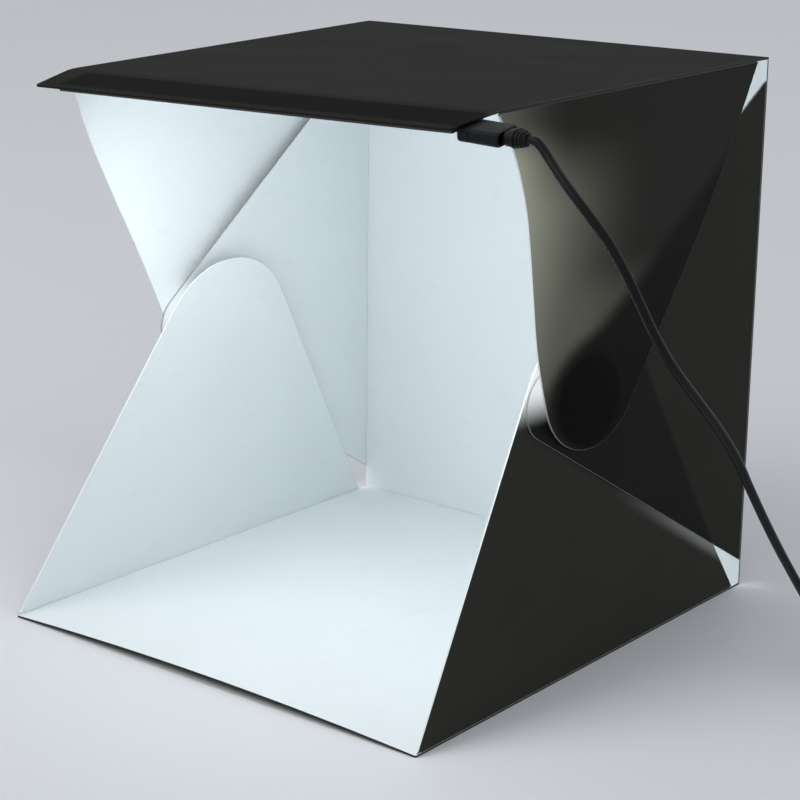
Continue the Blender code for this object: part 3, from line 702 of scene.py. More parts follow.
def upper_lean(reach, depth):
    """How far an upper flap lies inside its crease, on a smooth curve through UPPER_CURVE."""
    share = min(max(depth / UPPER_RUN, 0), 1)
    for index in range(1, len(UPPER_CURVE) - 2):
        if share <= UPPER_CURVE[index + 1][0]:
            break
    start, end = UPPER_CURVE[index][0], UPPER_CURVE[index + 1][0]
    leans = (lean for _, lean in UPPER_CURVE[index - 1:index + 3])
    return reach * math.tan(REAR_LEAN) * between(*leans, (share - start) / (end - start))


# Finishes


def sheet_grain(finish, place):
    """The fine embossed grain and slow waves of the plastic sheet."""
    return finish.noise(place, GRAIN), finish.noise(place, WAVES, 1)


def grained(name, colour, size, tone, rough, depth, detail=2, **constants):
    """A finish with one fine grain; tone and rough are its share and what they start from."""
    finish = Finish(name, **constants)
    grain = finish.noise(finish.place(), size, detail)
    finish.set(Base_Color=finish.scaled(tuple(colour), grain * tone[0] + tone[1]),
               Roughness=grain * rough[0] + rough[1], Normal=finish.bump(grain, depth))
    return finish, grain


def wedge(y, z, start, end, peak, radius):
    """How deep a place lies inside a flap's outline in side view, in metres."""
    start, end, peak = Vector(start), Vector(end), Vector(peak)
    back = (start - peak).normalized()
    ahead = (end - peak).normalized()
    half = back.angle(ahead) / 2
    centre = peak + (back + ahead).normalized() * radius / math.sin(half)
    depth = None
    for side, other in ((back, ahead), (ahead, back)):
        square = Vector((-side.y, side.x))
        if square.dot(other) < 0:
            square = -square
        inside = (y - peak.x) * square.x + (z - peak.y) * square.y
        depth = inside if depth is None else depth.least(inside)
    middle = (back + ahead).normalized()
    touch = radius / math.tan(half) * math.cos(half)
    beyond = (y - peak.x) * middle.x + (z - peak.y) * middle.y - touch
    away = ((y - centre.x) ** 2 + (z - centre.y) ** 2) ** 0.5
    return depth.least(beyond.most(radius - away))


def lower_wedge(y, z):
    peak = (LOWER_PEAK[0], ROOT + LOWER_PEAK[1] * math.cos(LOWER_LEAN))
    return wedge(y, z, (LOWER_FRONT, ROOT), (LOWER_REAR, ROOT), peak, LOWER_ROUND)


def rear_wedge(y, z):
    peak = (BACK - REAR_PEAK[0] * math.cos(REAR_LEAN), REAR_PEAK[1])
    return wedge(y, z, (BACK, REAR_FOOT), (BACK, REAR_HEAD), peak, REAR_ROUND)


def painted_leak_glow(x, y, z):
    """Painted glow where light would escape at the mouth, where the three tips part."""
    return (z / MM).rise(106, 123) * (z / MM).rise(175, 155) * (y / MM).rise(-12, -27) * 0.95


def pressed(y, z):
    """Distance from the discs, as a share of the oval where the three tips are pressed together."""
    y = y - (DISC_Y - 5 * MM)
    z = z - (DISC_Z - 7 * MM)
    along = (y * 0.42 + z * 0.91) / (20 * MM)
    across = (y * 0.91 - z * 0.42) / (22 * MM)
    return (along ** 2 + across ** 2) ** 0.5


def nearest_crease(distances):
    nearest = distances[0]
    for distance in distances[1:]:
        nearest = nearest.least(distance)
    return nearest


def edge_face(name, settings, creases, depth, lit=None):
    """Pale die-cut edge; along the creases its outer half is charcoal and its inner half white."""
    finish = Finish(name, Specular_IOR_Level=0.3)
    place = finish.place()
    x, y, z = finish.axes(place)
    grain = finish.noise(place, 0.3 * MM, 3)
    nicks = finish.noise(place, 4 * MM, 4).rise(0.6, 0.72)
    tone = grain * 0.14 + 0.92 - nicks * 0.16
    # Painted shade: the cut edge is drawn at 0.38 of its colour, and painted light raises it to
    # full where lit is 1
    shade = lit(x, y, z) * 0.62 + 0.38 if lit else 0.38
    colour = finish.scaled(tuple(settings.cut), tone * shade)
    scored = nearest_crease(creases(x, y, z)).rise(2.0 * MM, 1.4 * MM)
    inner = depth(x, y, z).rise(0.38 * SHEET, 0.52 * SHEET)
    faces = finish.mix(inner, tuple(settings.crease), tuple(settings.inside))
    finish.set(Base_Color=finish.mix(scored, colour, faces),
               Roughness=grain * 0.2 + 0.38, Normal=finish.bump(grain, 0.02 * MM))
    return name


def outer_face(name, settings, creases, painted_shades=None, shown=None, depth=1.0, light=None,
               matt=0.46):
    """Charcoal outer face: satin grain, rubbed creases, painted shade where other layers lie
    behind, and painted glow.
    """
    finish = Finish(name, Specular_IOR_Level=0.05)
    place = finish.place()
    x, y, z = finish.axes(place)
    grain, waves = sheet_grain(finish, place)
    scuffs = finish.noise(finish.stretched(place, SCUFF_STRETCH), 5 * MM, 6).rise(0.60, 0.78)
    # The depth factor scales the whole face darker: painted shade for that piece
    tone = (grain * 0.16 + waves * 0.20 + 0.82) * depth
    # Painted shade where other flaps or the light strip lie behind the sheet
    for mask, share in painted_shades(x, y, z) if painted_shades else ():
        tone = tone * (1 - mask * share)
    colour = finish.scaled(tuple(settings.outside), tone)
    colour = finish.mix(scuffs * 0.10, colour, tuple(settings.crease))
    nearest = nearest_crease(creases(x, y, z))
    white = nearest.rise(1.6 * MM, 0.2 * MM)
    fold = nearest.rise(3.4 * MM, 2.4 * MM) * nearest.rise(1.4 * MM, 2.4 * MM)
    colour = finish.mix(white * (grain * 0.6 + 0.35), colour, tuple(settings.crease))
    rough = grain * 0.12 + scuffs * 0.12 + matt
    relief = finish.bump(grain, 0.025 * MM)
    relief = finish.bump(waves, WAVE_DEPTH, relief)
    relief = finish.bump(fold, 0.12 * MM, relief)
    finish.set(Base_Color=colour, Roughness=rough, Normal=relief)
    # Painted glow: emission that stands in for light coming through the sheet
    if shown:
        finish.set(Emission_Color=finish.scaled(light or tuple(settings.show), shown(x, y, z)),
                   Emission_Strength=1.0)
    return name


def make_sheet_finishes(settings):
    """The white face and the creases' web."""
    finish = Finish("white face", Specular_IOR_Level=0.35)
    place = finish.place()
    grain, waves = sheet_grain(finish, place)
    marks = finish.noise(finish.stretched(place, SCUFF_STRETCH), 14 * MM, 6).rise(0.58, 0.80)
    tone = waves * 0.05 + grain * 0.03 + 0.93 - marks * 0.035
    relief = finish.bump(waves, WAVE_DEPTH, finish.bump(grain, 0.02 * MM))
    finish.set(Base_Color=finish.scaled(tuple(settings.inside), tone),
               Roughness=grain * 0.12 + marks * 0.1 + 0.42, Normal=relief)

    finish = Finish("crease web", Specular_IOR_Level=0.4)
    place = finish.place()
    grain = finish.noise(place, 0.4 * MM, 3)
    streaks = finish.noise(finish.stretched(place, (1, 1, 0.2)), 1.5 * MM, 3)
    finish.set(Base_Color=finish.scaled(tuple(settings.crease), streaks * 0.7 + 0.6),
               Roughness=grain * 0.2 + 0.4, Normal=finish.bump(grain, 0.02 * MM))


def make_strip_finishes(settings):
    """Board, pads, chips and tape."""
    finish = Finish("solder mask", Specular_IOR_Level=0.5)
    along, across, _ = finish.axes(finish.node("ShaderNodeUVMap", {"uv_map": "strip"}, {}))
    place = finish.place()
    pitch = (along * CHIPS).math("FRACT")
    rails = (abs(across - 0.14).least(abs(across - 0.9))).rise(0.035, 0.028)
    links = abs(pitch - 0.5).rise(0.05, 0.035) * across.rise(0.12, 0.14)
    copper = rails.most(links)
    pads = abs(abs(pitch - 0.5) - 0.24).rise(0.07, 0.055) * abs(across - 0.5).rise(0.10, 0.08)
    ends = abs(abs(pitch - 0.5) - 0.11).rise(0.05, 0.04) * abs(across - 0.775).rise(0.06, 0.045)
    pads = pads.most(ends)
    grain = finish.noise(place, 0.5 * MM)
    colour = finish.scaled(tuple(settings.board), copper * 0.8 + grain * 0.3 + 0.8)
    colour = finish.mix(pads, colour, tuple(settings.pads))
    finish.set(Base_Color=colour, Metallic=pads, Roughness=grain * 0.1 + 0.30 - pads * 0.05,
               Normal=finish.bump(copper.most(pads), 0.06 * MM))

    grained("solder", settings.pads, 0.3 * MM, (0.3, 0.8), (0.25, 0.2), 0.03 * MM, 3,
            Metallic=1.0)
    grained("chip package", settings.package, 0.25 * MM, (0.1, 0.93), (0.15, 0.32), 0.008 * MM,
            Specular_IOR_Level=0.5)
    finish, grain = grained("phosphor lens", settings.lens, 0.12 * MM, (0.2, 0.85), (0.1, 0.12),
                            0.006 * MM, Specular_IOR_Level=0.5, Emission_Strength=settings.glow)
    finish.set(Emission_Color=finish.mix(grain, (1.0, 0.93, 0.80), (0.92, 0.97, 1.0)))
    grained("resistor body", (0.018, 0.018, 0.02), 0.2 * MM, (0.5, 0.7), (0.15, 0.3), 0.01 * MM,
            Specular_IOR_Level=0.5)

    finish = Finish("foam tape", Specular_IOR_Level=0.2)
    cells = finish.cells(finish.place(), 0.35 * MM)
    finish.set(Base_Color=finish.scaled(tuple(settings.tape), cells * 0.25 + 0.82),
               Roughness=cells * 0.1 + 0.85, Normal=finish.bump(cells, 0.08 * MM))


def make_lead_finishes(settings):
    """Sheath, mouldings, steel, contacts and strap."""
    finish = Finish("lead sheath", Specular_IOR_Level=0.16)
    place = finish.place()
    grain = finish.noise(place, 0.4 * MM)
    bloom = finish.noise(place, 22 * MM, 4)
    rub = finish.noise(place, 3 * MM, 5).rise(0.60, 0.75)
    finish.set(Base_Color=finish.scaled(tuple(settings.sheath), bloom * 0.5 + rub * 0.5 + 0.75),
               Roughness=grain * 0.12 + rub * 0.12 + 0.34,
               Normal=finish.bump(grain, 0.02 * MM))

    finish = Finish("black moulding", Specular_IOR_Level=0.16)
    place = finish.place()
    spark = finish.cells(place, 0.28 * MM)
    rub = finish.noise(place, 2.5 * MM, 5).rise(0.58, 0.75)
    finish.set(Base_Color=finish.scaled(tuple(settings.moulding), spark * 0.3 + rub * 0.5 + 0.8),
               Roughness=spark * 0.12 + rub * 0.08 + 0.40,
               Normal=finish.bump(spark, 0.03 * MM))

    finish = Finish("connector steel", Metallic=1.0)
    place = finish.place()
    lines = finish.noise(finish.stretched(place, (1, 9, 9)), 1.4 * MM, 3)
    wear = finish.noise(place, 2 * MM, 5).rise(0.55, 0.75)
    finish.set(Base_Color=finish.scaled(tuple(settings.steel), lines * 0.25 + 0.85 - wear * 0.12),
               Roughness=lines * 0.16 + wear * 0.12 + 0.16,
               Normal=finish.bump(lines, 0.006 * MM))

    grained("gold contact", settings.gold, 0.3 * MM, (0.3, 0.8), (0.2, 0.15), 0.005 * MM, 3,
            Metallic=1.0)

    finish = Finish("woven strap", Specular_IOR_Level=0.25)
    x, y, z = finish.axes(finish.place())
    warp = x.wave(0.9 * MM)
    weft = (y + z).wave(0.9 * MM)
    weave = (warp * weft).most((1 - warp) * (1 - weft))
    lint = finish.noise(finish.place(), 1.2 * MM, 5)
    finish.set(Base_Color=finish.scaled(tuple(settings.strap), weave * 0.8 + lint * 0.5 + 0.5),
               Roughness=lint * 0.1 + 0.82, Normal=finish.bump(weave, 0.15 * MM))


# Tent


def make_base(settings):
    """Floor panel, its front edge bowed up between its corners."""
    corners = (((-HALF, BACK), 0), ((HALF, BACK), 0),
               ((HALF, MOUTH), 1 * MM), ((-HALF, MOUTH), 1 * MM))
    bm = traced(corners, 5)
    cut_grid(bm, settings.grid)

    def shape(x, y):
        across = max(0, 1 - (x / HALF) ** 2)
        along = max(0, (BOW_START - y) / (BOW_START - MOUTH))
        return x, y, BOW * across * along ** 2

    def creases(x, y, z):
        return [HALF - abs(x), BACK - y]

    bent(bm, shape, Matrix.Identity(4), Vector((0, 0, -1)))
    outer = outer_face("charcoal base", settings, creases)
    # The cut edge takes the charcoal finish as painted shade, in place of its pale cut colour
    add_sheet("base_sheet", bm, "base", "base_panel", outer, outer, settings)


def make_back(settings):
    """Back panel, hinged on the base."""
    corners = [((x, z), 0) for x, z in ((-HALF, ROOT), (HALF, ROOT),
                                        (HALF, HEIGHT - ROOT), (-HALF, HEIGHT - ROOT))]
    bm = traced(corners)
    cut_grid(bm, settings.grid * 2)
    bent(bm, lambda x, z: (x, 0, z), Matrix.Translation((0, BACK, 0)), Vector((0, 1, 0)))

    def creases(x, y, z):
        return [HALF - abs(x), z, HEIGHT - z]

    outer = outer_face("charcoal back", settings, creases)
    edge = edge_face("back edge", settings, creases,
                     lambda x, y, z: (BACK - y).least(HALF - abs(x)))
    add_sheet("back_sheet", bm, "back", "back_panel", outer, edge, settings)


def make_top(settings):
    """Top panel with its drooping lip."""
    narrow = HALF - LIP_TAPER
    corners = (
        ((HALF, 0), 0), ((-HALF, 0), 0), ((-HALF, LIP_BEND), 0),
        ((-narrow, LIP_TIP), 2 * MM), ((narrow, LIP_TIP), 2 * MM), ((HALF, LIP_BEND), 0),
    )
    bm = traced(corners, 5)
    for step in range(-4, 5):
        cut(bm, Vector((0, LIP_BEND + LIP_ROUND * step / 4, 0)), Vector((0, 1, 0)))
    cut_grid(bm, settings.grid)

    def shape(x, y):
        ahead = LIP_BEND - y
        drop = max(0, ahead)
        if abs(ahead) < LIP_ROUND:
            drop = (ahead + LIP_ROUND) ** 2 / (4 * LIP_ROUND)
        place = y + drop * (1 - math.cos(LIP_ANGLE))
        return x, place, -drop * math.sin(LIP_ANGLE) - twist(x, y)

    bent(bm, shape, TOP_PLACE, Vector((0, 0, 1)))
    lip = lip_frame()
    front = (lip @ Vector((0, strip_middle() - STRIP_WIDTH / 2, 0))).y
    rear = (lip @ Vector((0, strip_middle() + STRIP_WIDTH / 2, 0))).y

    def painted_shades(x, y, z):
        # Painted shadow of the light strip: a dark strip on the outer face over where the board
        # lies beneath
        strip_shadow = y.rise(front - 1 * MM, front + 0.6 * MM) * y.rise(rear + 1 * MM, rear - 0.6 * MM)
        return [(strip_shadow * x.rise(STRIP_LEFT - 1 * MM, STRIP_LEFT + 1 * MM), 0.8)]

    # depth 0.50 paints the whole top darker as shade; its cut edge takes this charcoal finish too,
    # as painted shade
    outer = outer_face("charcoal top", settings, lambda x, y, z: [HALF - abs(x), BACK - y], painted_shades,
                       depth=0.50, matt=0.66)
    add_sheet("top_sheet", bm, "top", "top_panel", outer, outer, settings)


def make_lower_flaps(settings):
    """Innermost flaps, hinged on the base's sides."""
    corners = (((LOWER_FRONT, 0), 0), ((LOWER_REAR, 0), 0), (LOWER_PEAK, LOWER_ROUND))

    def inward(x, y, z):
        return HALF - abs(x) - (z - ROOT) * math.tan(LOWER_LEAN)

    # Painted glow on the outer face: light escaping at the mouth, and a strip of it just below the
    # rear flap's edge towards the back
    def shown(x, y, z):
        under = rear_wedge(y, z) / MM
        corner = under.rise(-7, 0) * under.rise(5, 0) * (y / MM).rise(15, 100) * 0.15
        return painted_leak_glow(x, y, z) + corner

    for side, sign in SIDES:
        bm = traced(corners)
        cut_grid(bm, settings.grid * 2)
        bent(bm, lambda y, z: (sign * SHEET, y, z), lower_frame(sign), Vector((sign, 0, 0)))
        outer = outer_face("charcoal lower " + side, settings, lambda x, y, z: [z],
                           shown=shown, light=tuple(settings.inside))
        # The last mask is painted light on the front half of the cut edge
        edge = edge_face("lower edge " + side, settings, lambda x, y, z: [z], inward,
                         lambda x, y, z: (y / MM).rise(15, -15))
        add_flap("lower", side, bm, outer, edge, settings)


def make_rear_flaps(settings):
    """Middle flaps, hinged on the back panel's upright creases."""
    corners = (((ROOT, REAR_FOOT), 0), ((ROOT, REAR_HEAD), 0), (REAR_PEAK, REAR_ROUND))

    # Painted shade where the lower flap lies behind the sheet
    def painted_shades(x, y, z):
        return [(lower_wedge(y, z).rise(-0.5 * MM, 3 * MM), 0.55)]

    def inward(x, y, z):
        return HALF - abs(x) - (BACK - y) * math.tan(REAR_LEAN)

    for side, sign in SIDES:
        bm = traced(corners)
        cut_grid(bm, settings.grid * 2)
        bent(bm, lambda reach, z: (0, -reach, z), rear_frame(sign), Vector((sign, 0, 0)))
        # depth 0.85 is painted shade on the whole face, and the painted leak glow is passed in too
        outer = outer_face("charcoal rear " + side, settings, lambda x, y, z: [BACK - y], painted_shades,
                           painted_leak_glow, 0.85, tuple(settings.inside))
        edge = edge_face("rear edge " + side, settings, lambda x, y, z: [BACK - y], inward)
        add_flap("rear", side, bm, outer, edge, settings)


def upper_outline(sign):
    """Corners of an upper flap, whose crease follows the top panel's twisted edge."""
    ends = [((y, ROOT + twist(sign * HALF, y)), 0) for y in (UPPER_FRONT, UPPER_REAR)]
    return ends + [(UPPER_PEAK, UPPER_ROUND)]


def make_upper_flaps(settings):
    """Outermost flaps, hinged on the top panel, bulging out and drawn in at their tips."""

    # Painted shade where the rear and lower flaps lie behind, and a dark oval where the three tips
    # press together
    def painted_shades(x, y, z):
        rear = rear_wedge(y, z).rise(-1 * MM, 9 * MM)
        lower = lower_wedge(y, z).rise(-1 * MM, 3 * MM)
        return [(rear, 0.70), (lower, 0.15), (pressed(y, z).rise(1.05, 0.86), 0.97)]

    # Painted glow of the strip's light coming through, brightest near the mouth below the lip, cut
    # where the rear flap or the oval lies behind
    def shown(x, y, z):
        near = (1 - (y - MOUTH - 43 * MM) / (120 * MM)).most(0).least(1)
        share = z / HEIGHT
        tail = (y / MM).rise(-34, -8) * (z / MM).rise(172, 150) * 0.09
        high = share.rise(0.30, 0.62) * (1 - share.rise(0.90, 0.97) * 0.75)
        high = high * (1 - share.rise(0.80, 0.96) * (y / MM).rise(-80, -30))
        rim = (y / MM).rise(-12, -30) * 0.6
        covered = rear_wedge(y, z).rise(-1 * MM, 12 * MM) * (1 - rim)
        return (near ** 3 * 1.12 + tail) * high * (1 - covered) * pressed(y, z).rise(0.95, 1.6)

    for side, sign in SIDES:
        bm = traced(upper_outline(sign))
        cut_grid(bm, settings.grid)

        def shape(y, depth):
            return -sign * upper_lean(-y, depth), y, -depth

        bent(bm, shape, upper_hinge(sign), Vector((sign, 0, 0)))
        fall = math.tan(TOP_TILT) + twist(sign * HALF, -DEPTH) / DEPTH

        def creases(x, y, z):
            return [(HEIGHT - z) - (BACK - y) * fall]

        # depth 0.68 is painted shade on the whole face
        outer = outer_face("charcoal upper " + side, settings, creases, painted_shades, shown, 0.68)
        # The last mask is painted light on the front part of the cut edge, higher than about 0.1 m
        edge = edge_face("upper edge " + side, settings, creases, lambda x, y, z: HALF - abs(x),
                         lambda x, y, z: (y / MM).rise(0, -20) * (z / MM).rise(90, 140))
        add_flap("upper", side, bm, outer, edge, settings)


def add_web(name, place, low, high, axis, inward):
    """A thin web in the gap of one crease, between the sheets it joins, cut into slices along it.
    """
    bm = bmesh.new()
    block(bm, low, high)
    normal = Vector([float(index == axis) for index in range(3)])
    for index in range(1, WEB_STEPS):
        cut(bm, Vector(low).lerp(Vector(high), index / WEB_STEPS), normal)
    bmesh.ops.transform(bm, matrix=place, verts=bm.verts)
    bm.normal_update()
    for face in bm.faces:
        face.material_index = int(face.normal.dot(inward) > 0.7)
    obj = add_piece(name, bm, None, ("crease web", "white face"))
    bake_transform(obj)


def make_webs(settings):
    """The scored web along each of the eight creases."""
    thin = settings.web / 2
    deep = SHEET / 2
    level = Matrix.Identity(4)
    ahead = Vector((0, -1, 0))
    left, right = -HALF + WEB_END, HALF - WEB_END
    near, far = BACK - deep - thin, BACK - deep + thin
    add_web("web_back", level, (left, near, WEB_LOW), (right, far, WEB_HIGH), 2,
            ahead)
    add_web("web_top", level, (left, near, HEIGHT - WEB_HIGH), (right, far, HEIGHT - WEB_LOW), 2,
            ahead)
    for side, sign in SIDES:
        x = sign * (HALF - deep)
        inward = Vector((-sign, 0, 0))
        add_web("web_lower_" + side, level, (x - thin, MOUTH + 4 * MM, WEB_LOW),
                (x + thin, BACK - 8 * MM, WEB_HIGH), 2,
                inward)
        add_web("web_rear_" + side, level, (x - thin, BACK - WEB_HIGH, REAR_FOOT + 1 * MM),
                (x + thin, BACK - WEB_LOW, REAR_HEAD - 1 * MM), 1,
                inward)
        slope = Matrix.Rotation(math.atan(twist(sign * HALF, -DEPTH) / DEPTH), 4, "X")
        add_web("web_upper_" + side, TOP_PLACE @ slope,
                (x - thin, UPPER_FRONT + 1 * MM, -WEB_HIGH),
                (x + thin, UPPER_REAR - 1 * MM, -WEB_LOW), 2,
                inward)


def make_disc_finishes():
    """Plated magnets and plain steel discs."""
    finish = Finish("plated magnet", Metallic=1.0)
    place = finish.place()
    grain = finish.noise(place, 0.5 * MM, 4)
    wear = finish.noise(place, 3 * MM, 4).rise(0.55, 0.7)
    finish.set(Base_Color=finish.scaled((0.57, 0.57, 0.58), grain * 0.2 + 0.9),
               Roughness=grain * 0.15 + wear * 0.15 + 0.18, Normal=finish.bump(grain, 0.01 * MM))

    finish = Finish("plain steel disc", Metallic=1.0)
    grain = finish.noise(finish.stretched(finish.place(), (1, 8, 1)), 1.5 * MM, 4)
    finish.set(Base_Color=finish.scaled((0.50, 0.50, 0.49), grain * 0.3 + 0.8),
               Roughness=grain * 0.25 + 0.25, Normal=finish.bump(grain, 0.01 * MM))


def disc(thick):
    """A disc across X, in the middle of the world."""
    bm = bmesh.new()
    bmesh.ops.create_cone(bm, cap_ends=True, segments=48, radius1=DISC_RADIUS, radius2=DISC_RADIUS,
                          depth=thick, matrix=Matrix.Rotation(QUARTER, 4, "Y"))
    round_rims(bm, thick / 8)
    return bm


def make_discs():
    """Magnets on the lower flaps and steel discs on the upper ones."""
    for side, sign in SIDES:
        height = DISC_Z / math.cos(LOWER_LEAN) - ROOT
        spot = Vector((sign * (SHEET + SEAT + MAGNET / 2), DISC_Y, height))
        add_piece("holding_magnet_" + side, disc(MAGNET), "lower_" + side,
                  ("plated magnet",), ("lower_magnet_" + side,),
                  lower_frame(sign) @ Matrix.Translation(spot))

        bm = disc(KEEPER)
        spot = Vector((-sign * (SHEET + SEAT + KEEPER / 2), DISC_Y - BACK, DISC_Z - HEIGHT))
        bmesh.ops.translate(bm, vec=spot, verts=bm.verts)
        for vert in bm.verts:
            vert.co.x -= sign * upper_lean(-vert.co.y, -vert.co.z)
        add_piece("keeper_disc_" + side, bm, "upper_" + side,
                  ("plain steel disc",), ("upper_keeper_" + side,), upper_hinge(sign))


# Light strip


def strip_slab(low, high, edge):
    """A flat slab along the strip, in the lip's frame, with its own map of the strip."""
    middle = strip_middle()
    stations = ((STRIP_LEFT, STRIP_WIDTH, high - low), (STRIP_RIGHT, STRIP_WIDTH, high - low))
    bm = moulding(stations, edge, steps=2)
    bmesh.ops.translate(bm, vec=(0, middle, (low + high) / 2), verts=bm.verts)
    layer = bm.loops.layers.uv.new("strip")
    for face in bm.faces:
        for loop in face.loops:
            x, y, _ = loop.vert.co
            along = (x - STRIP_LEFT) / (STRIP_RIGHT - STRIP_LEFT)
            loop[layer].uv = (along, (y - middle) / STRIP_WIDTH + 0.5)
    bmesh.ops.transform(bm, matrix=lip_frame(), verts=bm.verts)
    return bm


def make_board():
    """Foam tape, circuit board, and a resistor beside each chip."""
    level = -SEAT
    add_piece("strip_tape", strip_slab(level - TAPE, level, 0.1 * MM), "top",
              ("foam tape",), ("led_tape",))
    level -= TAPE + SEAT
    add_piece("strip_board", strip_slab(level - BOARD, level, 0.15 * MM), "top",
              ("solder mask",), ("led_board",))
    level -= BOARD
    y = strip_middle() + RESISTOR_OFFSET
    for name, surface, parts in (("resistor_bodies", "resistor body", RESISTOR_BODY),
                                 ("resistor_ends", "solder", RESISTOR_ENDS)):
        bm = bmesh.new()
        for index in range(CHIPS):
            x = chip_middle(index)
            for shift, reach, tall in parts:
                block(bm, (x + shift - reach, y - RESISTOR_HALF, level - tall),
                      (x + shift + reach, y + RESISTOR_HALF, level + RESISTOR_SINK), 0.06 * MM)
        add_piece(name, bm, "top", (surface,), place=lip_frame())


def make_chips():
    """Light chips: a white package with a dished phosphor lens and soldered ends."""
    level = -3 * SEAT - TAPE - BOARD
    down = Matrix.Rotation(QUARTER, 4, "Y")
    for index in range(CHIPS):
        bm = moulding(((0, CHIP_WIDTH, CHIP_LENGTH), (CHIP_THICK, CHIP_WIDTH, CHIP_LENGTH)),
                      CHIP_CORNER, steps=2)
        lens = max(bm.faces, key=lambda face: face.calc_center_median().x)
        for inset, rise in LENS_INSETS:
            bmesh.ops.inset_individual(bm, faces=[lens], thickness=inset, depth=rise)
        for edge in lens.edges:
            for face in edge.link_faces:
                face.material_index = 1
        count = len(bm.faces)
        for end in (-1, 1):
            for row in (-1, 1):
                low = Vector((FOOT_DOWN, row * FOOT.y - FOOT.y / 2, end * FOOT_OUT - FOOT.z / 2))
                block(bm, low, low + FOOT, 0.05 * MM)
        repaint(bm, count, 2)
        number = "_chip_%02d" % (index + 1)
        spot = Matrix.Translation((chip_middle(index), strip_middle(), level))
        add_piece("light" + number, bm, "top",
                  ("chip package", "phosphor lens", "solder"), ("led" + number,),
                  lip_frame() @ spot @ down)


# Socket and plugs


def make_socket():
    """Moulded housing at the strip's end, with its steel shell and contact tongue."""
    place = socket_frame()
    wide, thick = HOUSING_WIDTH, HOUSING_THICK
    full = (wide, thick)
    slim = (wide - 1.6 * MM, thick - 0.6 * MM)
    line = (wide - 0.5 * MM, thick - 0.4 * MM)
    pocket = (SOCKET_WIDTH + 2 * SEAT, SOCKET_THICK + 2 * SEAT)
    end = -HOUSING_LENGTH
    groove = end + 5 * MM
    bm = moulding((
        (end, *slim), (end + 0.3 * MM, wide - 0.6 * MM, thick - 0.2 * MM),
        (end + 0.8 * MM, *full), (groove, *full), (groove + 0.2 * MM, *line),
        (groove + 0.6 * MM, *line), (groove + 0.8 * MM, *full), (-0.9 * MM, *full),
        (-0.35 * MM, wide - 0.5 * MM, thick - 0.18 * MM), (0, *slim),
        (0, *pocket), (-SOCKET_DEPTH - SEAT, *pocket),
    ), 1.4 * MM, steps=5)
    add_piece("socket_block", bm, "top", ("black moulding",),
              ("socket_housing",), place)
    bm = shell(-SOCKET_DEPTH, 0, 0.1 * MM, SOCKET_WIDTH, SOCKET_THICK, 0.8 * MM)
    add_piece("socket_steel", bm, "top", ("connector steel",),
              ("socket_shell",), place)
    root = -SOCKET_DEPTH + METAL + SEAT
    tip = root + SOCKET_DEPTH * 0.72
    contacts = []
    for row in range(-2, 3):
        middle = row * 0.9 * MM
        contacts.append(((root + 1 * MM, middle - 0.2 * MM, SEAT / 2 - 0.04 * MM),
                         (tip - 0.4 * MM, middle + 0.2 * MM, SEAT / 2 + 0.1 * MM)))
    bm = contact_tongue((root, -TONGUE_HALF, SEAT / 2), (tip, TONGUE_HALF, SEAT / 2 + TONGUE),
                        0.08 * MM, contacts)
    add_piece("socket_contacts", bm, "top", ("black moulding", "gold contact"),
              ("socket_tongue",), place)


def boot_stations():
    """Ribs of the plug's strain relief, tapering to the lead."""
    stations = [(NECK_LENGTH - 1 * MM, 7 * MM, 5 * MM),
                (NECK_LENGTH - 0.6 * MM, 8.4 * MM, 6.2 * MM)]
    rib = BOOT_LENGTH / 4
    groove = 0.9 * MM
    for index in range(3):
        start = NECK_LENGTH + rib * (index + 0.25)
        trim = 1.8 * MM * index / 4
        wide, thick = 8.8 * MM - 2 * trim, 6.6 * MM - trim
        stations += [
            (start + rib * along, wide - less, thick - less)
            for along, less in ((-0.12, 0.3 * MM), (0, 0), (0.5, 0), (0.62, 0.4 * MM),
                                (0.66, groove), (0.84, groove))
        ]
    return stations + [(PLUG_LENGTH - rib / 2, 5.2 * MM, 5.2 * MM),
                       (PLUG_LENGTH, 4.8 * MM, 4.8 * MM),
                       (PLUG_LENGTH + 0.25 * MM, 4.2 * MM, 4.2 * MM)]


def make_plug():
    """The small plug: neck, ribbed strain relief, steel shell and contact tongue."""
    place = socket_frame()
    neck = (
        (SEAT, 7 * MM, 4.2 * MM), (0.6 * MM, 8 * MM, 5 * MM), (1.1 * MM, 8.4 * MM, 5.4 * MM),
        (NECK_LENGTH - 0.4 * MM, 8.4 * MM, 5.4 * MM), (NECK_LENGTH, 7.6 * MM, 4.8 * MM),
    )
    bm = moulding(neck, 1.9 * MM, steps=6, place=place)
    bm = moulding(boot_stations(), 2.45 * MM, bm, steps=6, place=place)
    add_piece("plug_moulding", bm, "lead", ("black moulding",), ("plug_body",))
    bm = shell(0, -PLUG_REACH, 0.15 * MM, PLUG_WIDTH, PLUG_THICK, 0.7 * MM)
    add_piece("plug_steel", bm, "lead", ("connector steel",),
              ("plug_shell",), place)
    bm = contact_tongue((-PLUG_REACH + SEAT, -TONGUE_HALF, -SEAT / 2 - TONGUE),
                        (-METAL - SEAT, TONGUE_HALF, -SEAT / 2), 0.06 * MM)
    add_piece("plug_contacts", bm, "lead", ("black moulding",),
              ("plug_tongue",), place)


